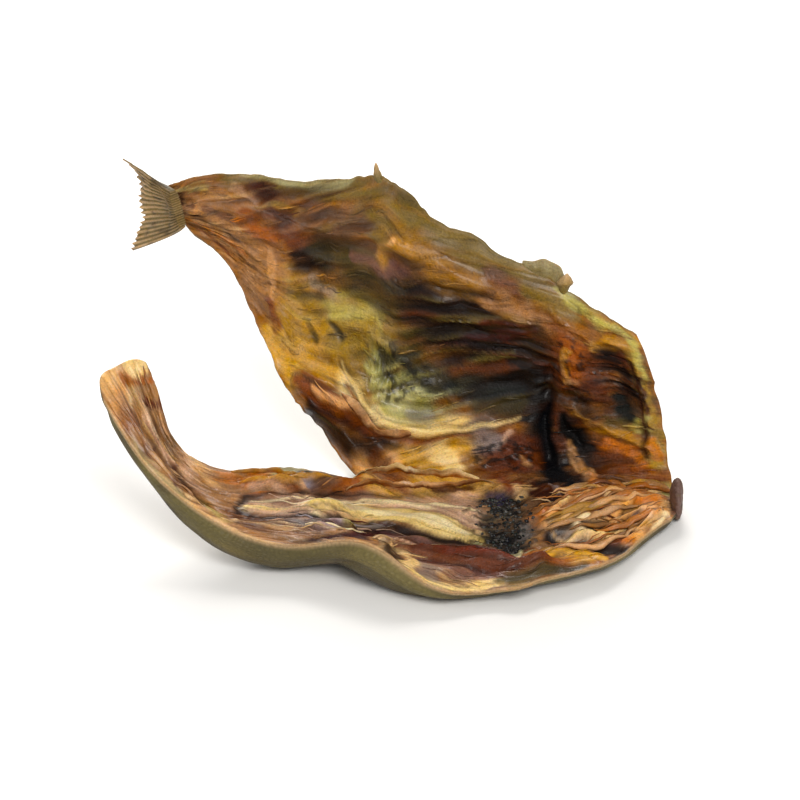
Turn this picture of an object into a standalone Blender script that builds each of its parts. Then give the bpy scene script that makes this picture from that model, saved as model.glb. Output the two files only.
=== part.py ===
"""Dried rabbitfish: one fish split along its back, opened like a book and dried stiff.

The near half lies on its skin, the far half stands up and leans back, and the two hang together
at the belly from the snout to the vent. Behind the vent the tail is split, and both ends curl up.
Millimetres below become metres by MM. +X is the head end, +Z is up, Z = 0 is the resting plane.
"""

import math

import bmesh
import bpy
import numpy as np
from mathutils import Matrix, Vector

MM = 0.001
NAME = "dried_fish"
CENTRE = (-4.0, 8.0, 0.0)   # middle of the fish's box on the resting plane, taken as the origin

# The opened sheet: v runs from the snout (0) to the tail root (1), w from the belly (0) to the back (1).
JOIN = 0.46            # the halves are joined at the belly up to this v
LENGTH = 145.0         # snout to tail root
HALF_WIDTH = 58.0      # deepest half, belly to back
FOLD = ((0.0, 62, -5.5, 1.5), (0.12, 45, -1.5, -2), (0.25, 23.5, 0.5, -3), (0.36, 5, 1, -3),
        (JOIN, -12, 0.5, 0.5))
NEAR_BELLY = ((0.57, -27.5, -5.5, 8), (0.68, -42.5, -15.5, 13), (0.78, -53.5, -16.5, 20),
              (0.89, -58, -12, 31), (1.0, -62, -9, 40))
FAR_BELLY = ((0.53, -20, 6, 8.5), (0.6, -28, 13, 16), (0.7, -35, 22, 26.5), (0.79, -39.5, 30, 33.5),
             (0.89, -45, 38, 41), (1.0, -56, 47, 46))
NEAR_BACK = ((0.0, 63, -20, 4), (0.08, 55, -28.5, 3.5), (0.18, 46, -41.5, 4), (0.29, 32.5, -50, 4.5),
             (0.41, 15.5, -55, 3.5), (0.5, 2, -54, 6.5), (0.56, -8, -49, 11.8), (0.66, -24, -43.5, 9),
             (0.74, -37, -40.5, 9.5), (0.82, -50, -34, 14), (0.9, -61.5, -26.5, 22),
             (1.0, -73, -14.5, 36.5))
FAR_BACK = ((0.0, 56.5, 10, 33), (0.14, 40, 14, 42.5), (0.28, 25, 17, 51.2), (0.42, 5, 22, 60.8),
            (0.54, -6.5, 26, 67.7), (0.68, -25.5, 33, 64.7), (0.82, -44, 43, 62.1),
            (0.92, -56, 50, 57), (1.0, -62, 54, 52.5))
NEAR_BOW = ((0.0, 0.5), (0.3, 3.0), (0.6, 4.0), (0.85, 4.0), (1.0, 2.0))
FAR_BOW = ((0.0, 3.0), (0.2, 6.5), (0.45, 8.5), (0.7, 5.5), (1.0, 1.5))
FAR_DISH = 6.75        # makes w * (1 - w) ** 2 reach 1 where the far half bows most, near its belly
FOLD_ROUND = 0.09      # how softly the belly fold turns, as a share of w
FLOOR_GAP = 0.7        # the sheet's middle keeps this far above the resting plane
HEAD_CORNER = 0.022    # how far the back corners of the head are rounded off, in v
EDGE = 0.6             # half thickness of the skin at every free edge
FAR_FLESH = 0.4        # flesh above the middle of the sheet, besides its edge
NEAR_FLESH = 1.1
THINNEST = 1.3         # least thickness of flesh and skin together, also under a hollow
FLESH_WRINKLE = 0.85   # strength of the drying wrinkles on the flesh
NEAR_THICK = 3.9       # how much thicker the back of a half is than its belly
FAR_THICK = 2.6

NEAR_COLUMNS = 20
FAR_COLUMNS = 22
JOINED_ROWS = 28
SPLIT_ROWS = 28

# Raised and sunken lines on the flesh side: (height, half width) in mm, then their (v, w) points.
FAR_LINES = (
    # rim of the belly cavity
    ((1.9, 1.8), ((0.56, 0.24), (0.5, 0.21), (0.43, 0.22), (0.37, 0.21), (0.3, 0.25))),
    ((-1.0, 1.6), ((0.46, 0.29), (0.41, 0.285), (0.36, 0.3))),  # hollow inside that rim
    ((1.5, 2.0), ((0.64, 0.02), (0.56, 0.15), (0.48, 0.17), (0.42, 0.12))),  # torn belly wall
    ((-1.6, 1.8), ((0.58, 0.06), (0.5, 0.09), (0.43, 0.08))),  # fold under it
    # split edge of the back muscle
    ((1.6, 1.6), ((0.74, 0.8), (0.6, 0.76), (0.5, 0.82), (0.4, 0.86), (0.3, 0.83))),
    ((-1.4, 1.7), ((0.66, 0.68), (0.55, 0.7), (0.45, 0.76), (0.36, 0.76))),  # hollow along the backbone
    ((-2.4, 2.0), ((0.2, 0.55), (0.205, 0.35), (0.205, 0.14))),  # slit behind the gill arch
    ((1.3, 1.4), ((0.16, 0.43), (0.09, 0.32), (0.02, 0.26))),  # jaw bone
    ((1.2, 1.5), ((0.2, 0.86), (0.12, 0.82), (0.04, 0.9))),  # skull roof
    ((1.4, 1.6), ((0.03, 0.8), (0.02, 0.5), (0.03, 0.2))),  # rim of the snout
)
NEAR_LINES = (
    # backbone, then the groove beside it
    ((1.0, 2.2), ((0.69, 0.37), (0.64, 0.39), (0.58, 0.48), (0.49, 0.31), (0.43, 0.36), (0.36, 0.53))),
    ((-1.5, 1.4), ((0.69, 0.45), (0.615, 0.58), (0.51, 0.49), (0.44, 0.46), (0.39, 0.53), (0.35, 0.63))),
    ((1.8, 2.6), ((0.5, 0.6), (0.43, 0.62), (0.385, 0.7), (0.34, 0.84), (0.3, 0.9))),  # band of red muscle
    # crumpled belly flap
    ((1.3, 1.7), ((0.66, 0.16), (0.6, 0.19), (0.55, 0.13), (0.47, 0.06), (0.41, 0.02))),
    ((1.5, 1.5), ((0.24, 0.38), (0.177, 0.28), (0.1, 0.15))),  # gill arches
    ((1.4, 1.5), ((0.25, 0.5), (0.17, 0.45), (0.08, 0.42))),
    ((1.3, 1.5), ((0.255, 0.58), (0.165, 0.57), (0.08, 0.6))),
    ((1.0, 1.3), ((0.26, 0.75), (0.19, 0.82), (0.115, 0.85))),
    ((-1.6, 1.6), ((0.24, 0.62), (0.19, 0.7), (0.12, 0.72))),
    ((-1.2, 1.8), ((1.0, 0.42), (0.88, 0.45), (0.78, 0.5), (0.7, 0.6))),  # gutter of the tail
    ((1.1, 1.8), ((1.0, 0.15), (0.88, 0.2), (0.76, 0.22))),
)
# Mounds and hollows on the flesh side: height in mm, then (v, w) and the reach along v and w.
FAR_MOUNDS = (
    (-3.0, (0.3, 0.55), (0.12, 0.2)),      # dark hollow of the chest
    (-2.2, (0.43, 0.4), (0.15, 0.17)),     # belly cavity
    (1.4, (0.52, 0.9), (0.22, 0.1)),       # thick of the back
    (-2.0, (0.65, 0.53), (0.035, 0.06)),   # pit
    (2.4, (0.155, 0.63), (0.03, 0.13)),    # brain case
    (-2.6, (0.075, 0.58), (0.035, 0.2)),   # eye socket
    (-1.8, (0.13, 0.2), (0.05, 0.1)),      # throat
    (1.6, (0.25, 0.12), (0.05, 0.07)),     # heart and gill root
    (1.2, (0.78, 0.45), (0.08, 0.3)),      # tail muscle
)
NEAR_MOUNDS = (
    (-1.0, (0.32, 0.38), (0.045, 0.26)),   # shrunken gut
    (-1.2, (0.32, 0.6), (0.03, 0.07)),
    (1.2, (0.45, 0.85), (0.1, 0.1)),       # thick of the back
    (1.3, (0.12, 0.25), (0.08, 0.2)),      # cheek
    (-1.0, (0.58, 0.08), (0.04, 0.08)),
)
SPINES = ((0.545, 4.0), (0.175, 3.6))   # broken back spines: v, length
SPINE_ROOT = 1.1
SPINE_TIP = 0.45
SPINE_SIDES = 6

SNOUT_PLACE = (62.4, -14.5, 4.7)
SNOUT_RADII = (2.2, 4.5, 4.6)

FIN_LENGTH = 21.0      # tail fin, root to tip
FIN_FORK = 8.0         # how much shorter its middle is
FIN_ROOT = 4.9         # half width where it leaves the tail
FIN_SPREAD = 11.5      # half width at the tips
FIN_THICK = 0.55       # half thickness
FIN_RAYS = 9
FIN_ROWS = 10
FIN_TURN = (-0.55, 0.78, -0.3)
FIN_ACROSS = (-0.25, 0.2, 0.95)
FIN_OVERLAP = 4.0

MEMBRANE = (0.17, 0.27)       # stretch of back edge that keeps a strip of fin
MEMBRANE_HEIGHT = 4.4
MEMBRANE_THICK = 0.5
MEMBRANE_GRID = (14, 4)

SKIN = (0.33, 0.19, 0.075, 1.0)
SEED = 7
CLOSE = 1e-4           # two places of the flat slab this near are the same


def smoothstep(x, low, high):
    t = np.clip((x - low) / (high - low), 0.0, 1.0)
    return t * t * (3.0 - 2.0 * t)


def spline(table, at):
    """A natural cubic spline through the rows of table: the key first, then its values."""
    table = np.array(table, float)
    keys = table[:, 0]
    values = table[:, 1:]
    count = len(keys)
    step = np.diff(keys)
    slope = np.diff(values, axis=0) / step[:, None]
    system = np.eye(count)
    right = np.zeros_like(values)
    for i in range(1, count - 1):
        system[i, i - 1:i + 2] = step[i - 1], 2.0 * (step[i - 1] + step[i]), step[i]
        right[i] = 6.0 * (slope[i] - slope[i - 1])
    bend = np.linalg.solve(system, right)
    i = np.clip(np.searchsorted(keys, at, side="right") - 1, 0, count - 2)
    t = (at - keys[i])[..., None]
    h = step[i][..., None]
    linear = slope[i] - h * (2.0 * bend[i] + bend[i + 1]) / 6.0
    return values[i] + t * linear + t ** 2 * bend[i] / 2.0 + t ** 3 * (bend[i + 1] - bend[i]) / (6.0 * h)


def unit(vectors):
    return vectors / np.maximum(np.linalg.norm(vectors, axis=-1, keepdims=True), 1e-9)


def soft_noise(x, y, seed):
    """Smooth noise from -1 to 1, one bump to each whole step of x and y."""
    table = np.random.default_rng(seed).uniform(-1.0, 1.0, (64, 64))
    column = np.floor(x).astype(int)
    row = np.floor(y).astype(int)
    s = smoothstep(x - column, 0.0, 1.0)
    t = smoothstep(y - row, 0.0, 1.0)
    low = table[row % 64, column % 64] * (1 - s) + table[row % 64, (column + 1) % 64] * s
    high = table[(row + 1) % 64, column % 64] * (1 - s) + table[(row + 1) % 64, (column + 1) % 64] * s
    return low * (1 - t) + high * t


def edges(v):
    """The belly and back edges of both halves at v, sharing one belly line up to the join."""
    near = spline(FOLD + NEAR_BELLY, v)
    far = spline(FOLD + FAR_BELLY, v)
    shared = (near + far) / 2.0
    own = smoothstep(v, JOIN - 0.15, JOIN)[..., None]
    near, far = (shared + (belly - shared) * own for belly in (near, far))
    return near, far, spline(NEAR_BACK, v), spline(FAR_BACK, v)


def middle(v, u):
    """The middle of the sheet in mm: u is -1 at the near back edge, 0 at the belly, 1 at the far back."""
    v = v + HEAD_CORNER * np.abs(u) ** 6 * (1.0 - v) ** 10
    near_belly, far_belly, near_back, far_back = edges(v)
    ahead = edges(v + 0.01)
    radius = FOLD_ROUND * (1.0 - smoothstep(v, JOIN - 0.15, JOIN + 0.08))
    soft = np.sqrt(u * u + radius * radius)
    near = ((soft - u) / 2.0)[..., None]
    far = ((soft + u) / 2.0)[..., None]
    near_chord = near_back - near_belly
    far_chord = far_back - far_belly
    near_up = unit(np.cross(ahead[0] + ahead[2] - near_belly - near_back, near_chord))
    far_up = unit(np.cross(far_chord, ahead[1] + ahead[3] - far_belly - far_back))
    belly = np.where((u < 0)[..., None], near_belly, far_belly)
    near_bow = spline(NEAR_BOW, v) * 4.0 * near * (1.0 - np.minimum(near, 1.0))
    far_bow = spline(FAR_BOW, v) * FAR_DISH * far * (1.0 - np.minimum(far, 1.0)) ** 2
    place = belly + near_chord * near + far_chord * far - near_up * near_bow - far_up * far_bow
    place[..., 2] = FLOOR_GAP + 0.6 * np.logaddexp(0.0, (place[..., 2] - FLOOR_GAP) / 0.6)
    return place


def flesh_side(v, u, far):
    """Unit normals of the sheet on its flesh side."""
    side = np.where(far, 1.0, -1.0)
    inner = np.where(far, np.maximum(u, 0.0), np.minimum(u, -1e-9))
    reach = 0.012
    along = middle(v + reach, inner) - middle(v - reach, inner)
    joined = v < JOIN
    back = np.where(joined | (np.abs(u) > reach), inner - side * reach, inner)
    across = (middle(v, inner + side * reach) - middle(v, back)) * side[..., None]
    return unit(np.cross(across, along))


def line(v, w, shape, points):
    """A raised or sunken line that fades at both ends."""
    height, width = shape
    path = np.array(points) * (LENGTH, HALF_WIDTH)
    place = np.stack([v * LENGTH, w * HALF_WIDTH], -1)
    nearest = np.full(v.shape, 1e9)
    for start, end in zip(path[:-1], path[1:]):
        run = end - start
        t = np.clip(((place - start) @ run) / (run @ run), 0.0, 1.0)
        nearest = np.minimum(nearest, np.linalg.norm(place - start - t[..., None] * run, axis=-1))
    return height * np.exp(-(nearest / width) ** 2)


def mound(v, w, height, centre, reach):
    distance = ((v - centre[0]) / reach[0]) ** 2 + ((w - centre[1]) / reach[1]) ** 2
    return height * np.exp(-distance * 1.2)


def rim(v, w):
    """0 on the free edges, 1 a few millimetres inside them."""
    back = smoothstep(1.0 - w, 0.0, 0.1)
    ends = smoothstep(v, 0.0, 0.035) * smoothstep(1.0 - v, 0.0, 0.05)
    belly = smoothstep(w + np.maximum(JOIN + 0.02 - v, 0.0) * 6.0, 0.0, 0.1)
    return back * ends * belly


def wrinkles(v, w, far):
    """Lengthwise drying wrinkles, slanting up towards the head on the far half."""
    slant = np.where(far, w + 0.55 * v, w + 0.25 * np.sin(v * 5.0))
    coarse = soft_noise(v * 7.0 + 3.0, slant * 11.0, SEED)
    fine = soft_noise(v * 16.0, slant * 21.0, SEED + 1)
    return 1.1 * coarse + 0.7 * fine


def flesh_depth(v, w, far):
    """Thickness of the flesh above the middle of the sheet."""
    total = FLESH_WRINKLE * wrinkles(v, w, far)
    for side, lines, mounds in ((far, FAR_LINES, FAR_MOUNDS), (~far, NEAR_LINES, NEAR_MOUNDS)):
        form = np.zeros(v.shape)
        for shape, points in lines:
            form += line(v, w, shape, points)
        for height, centre, reach in mounds:
            form += mound(v, w, height, centre, reach)
        total += np.where(side, form, 0.0)
    inside = rim(v, w)
    return EDGE + (np.where(far, FAR_FLESH, NEAR_FLESH) + total) * inside


def skin_depth(v, w, far):
    """Thickness below the middle: thin at the belly, thick and round along the back."""
    near_back = NEAR_THICK * smoothstep(v, 0.42, 0.54) * (1.0 - 0.85 * smoothstep(v, 0.68, 0.88)) + 1.4
    far_back = FAR_THICK - 0.8 * smoothstep(v, 0.8, 1.0)
    thick = np.where(far, far_back, near_back) * smoothstep(w, 0.2, 0.85)
    round_off = np.sqrt(np.clip(1.0 - ((w - 0.8) / 0.2) ** 2, 0.0, 1.0))
    body = (0.9 + thick) * np.where(w > 0.8, round_off, 1.0)
    body += 0.25 * wrinkles(v, 1.3 * w + 0.2, far)
    body += head_relief(v, w)
    inside = smoothstep(v, 0.0, 0.035) * np.where(far, 1.0, smoothstep(1.0 - v, 0.0, 0.05))
    belly = smoothstep(w + np.maximum(JOIN + 0.02 - v, 0.0) * 6.0, 0.0, 0.08)
    return EDGE + np.maximum(body - EDGE, 0.0) * inside * belly


def head_relief(v, w):
    """Sunken eye in its ring, gill cover, side fin and side line on the skin."""
    eye = np.hypot((v - 0.09) * LENGTH, (w - 0.62) * HALF_WIDTH)
    relief = 1.3 * np.exp(-((eye - 5.4) / 1.8) ** 2) - 1.4 * np.exp(-(eye / 3.6) ** 2)
    relief += line(v, w, (-1.3, 1.8), ((0.235, 0.86), (0.275, 0.62), (0.27, 0.4), (0.22, 0.16)))
    relief += line(v, w, (0.9, 2.6), ((0.3, 0.5), (0.36, 0.46), (0.42, 0.44)))
    relief += line(v, w, (0.45, 1.3), ((0.28, 0.84), (0.45, 0.8), (0.7, 0.66), (1.0, 0.52)))
    return relief


def slab(rows, columns, slit=None):
    """A flat slab of quads from -1 to 1 in x and y, cut from one end along the row of points slit."""
    mesh = bmesh.new()
    bmesh.ops.create_grid(mesh, x_segments=rows, y_segments=columns, size=1.0)
    if slit:
        column, first_row = slit
        cut_y = 2.0 * column / columns - 1.0
        cut_x = 2.0 * first_row / rows - 1.0
        cut = [e for e in mesh.edges
               if all(abs(p.co.y - cut_y) < CLOSE and p.co.x > cut_x - CLOSE for p in e.verts)]
        bmesh.ops.split_edges(mesh, edges=cut)
    place_side(mesh, columns, slit)
    copied = bmesh.ops.extrude_face_region(mesh, geom=mesh.faces[:], use_keep_orig=True)
    for part in copied["geom"]:
        if isinstance(part, bmesh.types.BMVert):
            part.co.z = 1.0
    bmesh.ops.recalc_face_normals(mesh, faces=mesh.faces)
    return mesh


def place_side(mesh, columns, slit):
    """Marks the points that lie on the far side of the fold."""
    far = mesh.verts.layers.int.new("far")
    fold = 2.0 * slit[0] / columns - 1.0 if slit else -1.0
    for point in mesh.verts:
        middle_y = sum(f.calc_center_median().y for f in point.link_faces) / len(point.link_faces)
        point[far] = int(middle_y > fold + 1e-6)


def finish(mesh, name, places):
    """Puts the slab's points at their places, given in mm, and makes it an object."""
    for point, place in zip(mesh.verts, places - np.array(CENTRE)):
        point.co = Vector([float(c) * MM for c in place])
    bmesh.ops.recalc_face_normals(mesh, faces=mesh.faces)
    bmesh.ops.triangulate(mesh, faces=mesh.faces, quad_method="SHORT_EDGE")
    data = bpy.data.meshes.new(name)
    mesh.to_mesh(data)
    mesh.free()
    return bpy.data.objects.new(name, data)


def body():
    """Both halves as one sheet with the tail split along the belly line."""
    columns = NEAR_COLUMNS + FAR_COLUMNS
    rows = JOINED_ROWS + SPLIT_ROWS
    mesh = slab(rows, columns, (NEAR_COLUMNS, JOINED_ROWS))
    marks = mesh.verts.layers.int["far"]
    flat = np.array([p.co for p in mesh.verts])
    far = np.array([bool(p[marks]) for p in mesh.verts])
    row = (flat[:, 0] + 1.0) / 2.0 * rows
    column = (flat[:, 1] + 1.0) / 2.0 * columns
    split = row > JOINED_ROWS
    v = np.where(split, JOIN + (row - JOINED_ROWS) / SPLIT_ROWS * (1.0 - JOIN), row / JOINED_ROWS * JOIN)
    count = np.where(column > NEAR_COLUMNS, FAR_COLUMNS, NEAR_COLUMNS)
    u = (column - NEAR_COLUMNS) / count
    u = np.where(far, np.maximum(u, 0.0), np.minimum(u, -1e-9))
    w = np.abs(u)
    normal = flesh_side(v, u, far)
    top = flat[:, 2] > 0.5
    above = flesh_depth(v, w, far)
    below = np.maximum(skin_depth(v, w, far), THINNEST - above)
    places = middle(v, u) + normal * np.where(top, above, -below)[:, None]
    lowest = np.where(top, THINNEST, 0.0)
    places[:, 2] = np.maximum(places[:, 2], lowest)
    return finish(mesh, NAME, places)


def tail_fin():
    """A thin forked fan of rays that goes on from the far half's tail."""
    mesh = slab(FIN_ROWS, 2 * FIN_RAYS)
    flat = np.array([p.co for p in mesh.verts])
    along = (flat[:, 0] + 1.0) / 2.0
    across = flat[:, 1]
    root = (edges(np.array([1.0]))[1] + edges(np.array([1.0]))[3])[0] / 2.0
    turn = unit(np.array(FIN_TURN))
    wide = unit(np.array(FIN_ACROSS) - turn * np.dot(FIN_ACROSS, turn))
    flat_way = np.cross(turn, wide)
    reach = FIN_LENGTH - FIN_FORK * (1.0 - np.abs(across) ** 1.4)
    reach += 1.2 * soft_noise(across * 5.0 + 9.0, across * 0.0, SEED + 2)
    spread = FIN_ROOT + (FIN_SPREAD - FIN_ROOT) * along ** 0.8
    curl = 2.0 * along ** 2 * np.sin(across * 2.0) + 0.8 * along * np.sin(across * 5.0 + along * 4.0)
    ray = 0.3 * np.cos(across * math.pi * FIN_RAYS)
    thick = (FIN_THICK + ray) * (1.0 - 0.35 * along)
    offset = np.where(flat[:, 2] > 0.5, thick, -thick) + curl
    distance = along * (reach + FIN_OVERLAP) - FIN_OVERLAP
    places = root + distance[:, None] * turn + (across * spread)[:, None] * wide + offset[:, None] * flat_way
    return finish(mesh, "tail_fin", places)


def membrane():
    """A torn strip of the back fin, folded towards the head."""
    mesh = slab(*MEMBRANE_GRID)
    flat = np.array([p.co for p in mesh.verts])
    along = (flat[:, 0] + 1.0) / 2.0
    up = (flat[:, 1] + 1.0) / 2.0
    v = MEMBRANE[1] + (MEMBRANE[0] - MEMBRANE[1]) * along
    back = edges(v)[3]
    rise = unit(back - edges(v)[1])
    side = unit(np.cross(rise, edges(v + 0.01)[3] - back))
    height = MEMBRANE_HEIGHT * (0.35 + 0.65 * along) * smoothstep(1.0 - along, -0.25, 0.15)
    height += 0.5 * soft_noise(along * 6.0, along * 0.0, SEED + 3)
    offset = np.where(flat[:, 2] > 0.5, MEMBRANE_THICK, -MEMBRANE_THICK) + 0.8 * np.sin(along * 7.0) * up
    places = back + rise * (up * (height + 2.0) - 2.0)[:, None] + side * offset[:, None]
    return finish(mesh, "membrane", places)


def spine(index, v, length):
    """The stump of a back spine, leaning towards the tail."""
    place = np.array([v])
    back = edges(place)[3][0]
    lean = unit(back - edges(place)[1][0] + 14.0 * (edges(place + 0.02)[3][0] - back))
    mesh = bmesh.new()
    bmesh.ops.create_cone(mesh, cap_ends=True, segments=SPINE_SIDES, radius1=SPINE_ROOT * MM,
                          radius2=SPINE_TIP * MM, depth=(length + 2.0) * MM)
    turn = Vector((0, 0, 1)).rotation_difference(Vector(lean)).to_matrix().to_4x4()
    centre = Vector((back - np.array(CENTRE)) * MM) + Vector(lean) * (length - 2.0) / 2.0 * MM
    bmesh.ops.transform(mesh, matrix=Matrix.Translation(centre) @ turn, verts=mesh.verts)
    data = bpy.data.meshes.new(f"spine_{index}")
    mesh.to_mesh(data)
    mesh.free()
    return bpy.data.objects.new(f"spine_{index}", data)


def snout():
    """The shrunken jaws at the tip of the near half."""
    mesh = bmesh.new()
    bmesh.ops.create_icosphere(mesh, subdivisions=2, radius=1.0)
    for point in mesh.verts:
        lump = 1.0 + 0.1 * math.sin(5.0 * point.co.y + 2.0 * point.co.z)
        place = [c + r * lump * p - m for c, r, p, m in zip(SNOUT_PLACE, SNOUT_RADII, point.co, CENTRE)]
        point.co = Vector(place) * MM
    data = bpy.data.meshes.new("snout")
    mesh.to_mesh(data)
    mesh.free()
    return bpy.data.objects.new("snout", data)


def flesh():
    """Dried flesh and skin in one plain colour."""
    material = bpy.data.materials.new("dried_flesh")
    material.use_nodes = True
    shader = next(n for n in material.node_tree.nodes if n.type == "BSDF_PRINCIPLED")
    shader.inputs["Base Color"].default_value = SKIN
    shader.inputs["Roughness"].default_value = 0.45
    shader.inputs["Metallic"].default_value = 0.0
    return material


def fuse(fish, pieces):
    """Joins the fins, spines and snout to the fish with one union."""
    extras = bpy.data.collections.new("fused_pieces")
    bpy.context.scene.collection.children.link(extras)
    for piece in pieces:
        extras.objects.link(piece)
        piece.hide_render = True
        piece.display_type = "WIRE"
    union = fish.modifiers.new("union", "BOOLEAN")
    union.operation = "UNION"
    union.operand_type = "COLLECTION"
    union.collection = extras
    union.solver = "EXACT"
    bpy.context.view_layer.update()
    graph = bpy.context.evaluated_depsgraph_get()
    joined = bpy.data.meshes.new_from_object(fish.evaluated_get(graph))
    fish.modifiers.clear()
    fish.data = joined
    for piece in pieces:
        bpy.data.objects.remove(piece)
    bpy.data.collections.remove(extras)


def main():
    for old in list(bpy.data.objects):
        bpy.data.objects.remove(old)
    home = bpy.data.collections.new("dried_rabbitfish")
    bpy.context.scene.collection.children.link(home)
    fish = body()
    home.objects.link(fish)
    pieces = [tail_fin(), membrane(), snout()]
    pieces += [spine(i, v, length) for i, (v, length) in enumerate(SPINES)]
    fuse(fish, pieces)
    fish.data.name = NAME
    fish.data.shade_smooth()
    fish.data.materials.clear()
    fish.data.materials.append(flesh())


main()
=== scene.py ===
"""Dried rabbitfish, split along its back and opened like a book: all its surfaces, and a plain stage.

Lengths in the tables are millimetres. Along a half, v runs from the snout (0) to the tail root (1) and
w from the belly fold (0) to the cut edge of the back (1). The near half lies down, the far half stands.
"""

import math

import bpy
import numpy as np
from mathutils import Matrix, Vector


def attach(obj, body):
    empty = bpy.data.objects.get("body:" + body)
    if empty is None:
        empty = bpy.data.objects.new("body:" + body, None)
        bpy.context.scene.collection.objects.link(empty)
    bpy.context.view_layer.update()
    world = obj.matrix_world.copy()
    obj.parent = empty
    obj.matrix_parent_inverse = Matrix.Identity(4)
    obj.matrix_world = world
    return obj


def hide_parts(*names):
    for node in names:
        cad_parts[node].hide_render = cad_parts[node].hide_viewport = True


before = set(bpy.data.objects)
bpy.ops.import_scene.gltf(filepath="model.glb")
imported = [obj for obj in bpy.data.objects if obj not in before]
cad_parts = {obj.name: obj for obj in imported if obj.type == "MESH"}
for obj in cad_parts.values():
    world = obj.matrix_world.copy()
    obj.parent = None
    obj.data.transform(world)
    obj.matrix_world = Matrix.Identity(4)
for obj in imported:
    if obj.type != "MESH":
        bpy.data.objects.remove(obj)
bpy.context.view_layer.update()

bl_info = {
    "name": "Dried Rabbitfish",
    "version": (1, 0, 0),
    "blender": (4, 5, 0),
    "location": "3D View > Sidebar > Dried Fish",
    "description": "Models a split and dried rabbitfish around its solid",
    "category": "Object",
}

NODE = "dried_fish"
MM = 0.001
CENTRE = (-4.0, 8.0, 0.0)  # middle of the fish's box on the resting plane, taken as the origin
SEED = 7  # every random draw starts from this number plus one of its own
NOISE_CELLS = 64  # the smooth noise repeats after so many bumps
AHEAD = 0.01  # step along v to find the way the sheet runs
NORMAL_STEP = 0.012  # step along and across the sheet to find its normals

# The opened sheet, as in the solid.
JOIN = 0.46  # the halves are joined at the belly up to this v
JOIN_EASE = 0.15  # they start to part this much before it
LENGTH = 145.0  # snout to tail root
HALF_WIDTH = 58.0  # deepest half, belly to back
# The belly line up to the join, then the belly and back edges of both halves: v, then the place.
FOLD = ((0.0, 62, -5.5, 1.5), (0.12, 45, -1.5, -2), (0.25, 23.5, 0.5, -3), (0.36, 5, 1, -3),
        (JOIN, -12, 0.5, 0.5))
NEAR_BELLY = ((0.57, -27.5, -5.5, 8), (0.68, -42.5, -15.5, 13), (0.78, -53.5, -16.5, 20),
              (0.89, -58, -12, 31), (1.0, -62, -9, 40))
FAR_BELLY = ((0.53, -20, 6, 8.5), (0.6, -28, 13, 16), (0.7, -35, 22, 26.5), (0.79, -39.5, 30, 33.5),
             (0.89, -45, 38, 41), (1.0, -56, 47, 46))
NEAR_BACK = ((0.0, 63, -20, 4), (0.08, 55, -28.5, 3.5), (0.18, 46, -41.5, 4), (0.29, 32.5, -50, 4.5),
             (0.41, 15.5, -55, 3.5), (0.5, 2, -54, 6.5), (0.56, -8, -49, 11.8), (0.66, -24, -43.5, 9),
             (0.74, -37, -40.5, 9.5), (0.82, -50, -34, 14), (0.9, -61.5, -26.5, 22), (1.0, -73, -14.5, 36.5))
FAR_BACK = ((0.0, 56.5, 10, 33), (0.14, 40, 14, 42.5), (0.28, 25, 17, 51.2), (0.42, 5, 22, 60.8),
            (0.54, -6.5, 26, 67.7), (0.68, -25.5, 33, 64.7), (0.82, -44, 43, 62.1), (0.92, -56, 50, 57),
            (1.0, -62, 54, 52.5))
# How far the halves bow out of a flat plane: v, then the height.
NEAR_BOW = ((0.0, 0.5), (0.3, 3.0), (0.6, 4.0), (0.85, 4.0), (1.0, 2.0))
FAR_BOW = ((0.0, 3.0), (0.2, 6.5), (0.45, 8.5), (0.7, 5.5), (1.0, 1.5))
FAR_DISH = 6.75  # makes w * (1 - w) ** 2 reach 1 where the far half bows most, near its belly
FOLD_ROUND = 0.09  # how softly the belly fold turns, as a share of w
FLOOR_GAP = 0.7  # the sheet's middle keeps this far above the resting plane
FLOOR_SOFT = 0.6  # and eases into that over about this height
HEAD_CORNER = 0.022  # how far the back corners of the head are rounded off, in v
TAIL_CORNER = 0.028  # the same for the corners of the tail root
EDGE = 0.6  # half thickness of the skin at every free edge
EDGE_ROUND = 1.3  # the free edges are rounded off over this width
EDGE_LEAST = 0.16  # share of its thickness that the very edge keeps
FLESH_EDGE = 0.45  # height of the flesh over the middle of the sheet at a free edge
FAR_FLESH = 0.4  # flesh above the middle of the sheet, besides its edge
NEAR_FLESH = 1.1
THINNEST = 1.3  # least thickness of flesh and skin together, also under a hollow
FLESH_WRINKLE = 0.85  # strength of the drying wrinkles on the flesh
NEAR_THICK = 3.9  # how much thicker the back of a half is than its belly
FAR_THICK = 2.6
BACK_ROUND = 0.2  # share of w over which the skin turns up to the back edge
SNOUT_EASE = 0.035  # stretch of v over which the halves thin out towards the snout
TAIL_EASE = 0.05  # and towards the tail root

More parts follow.
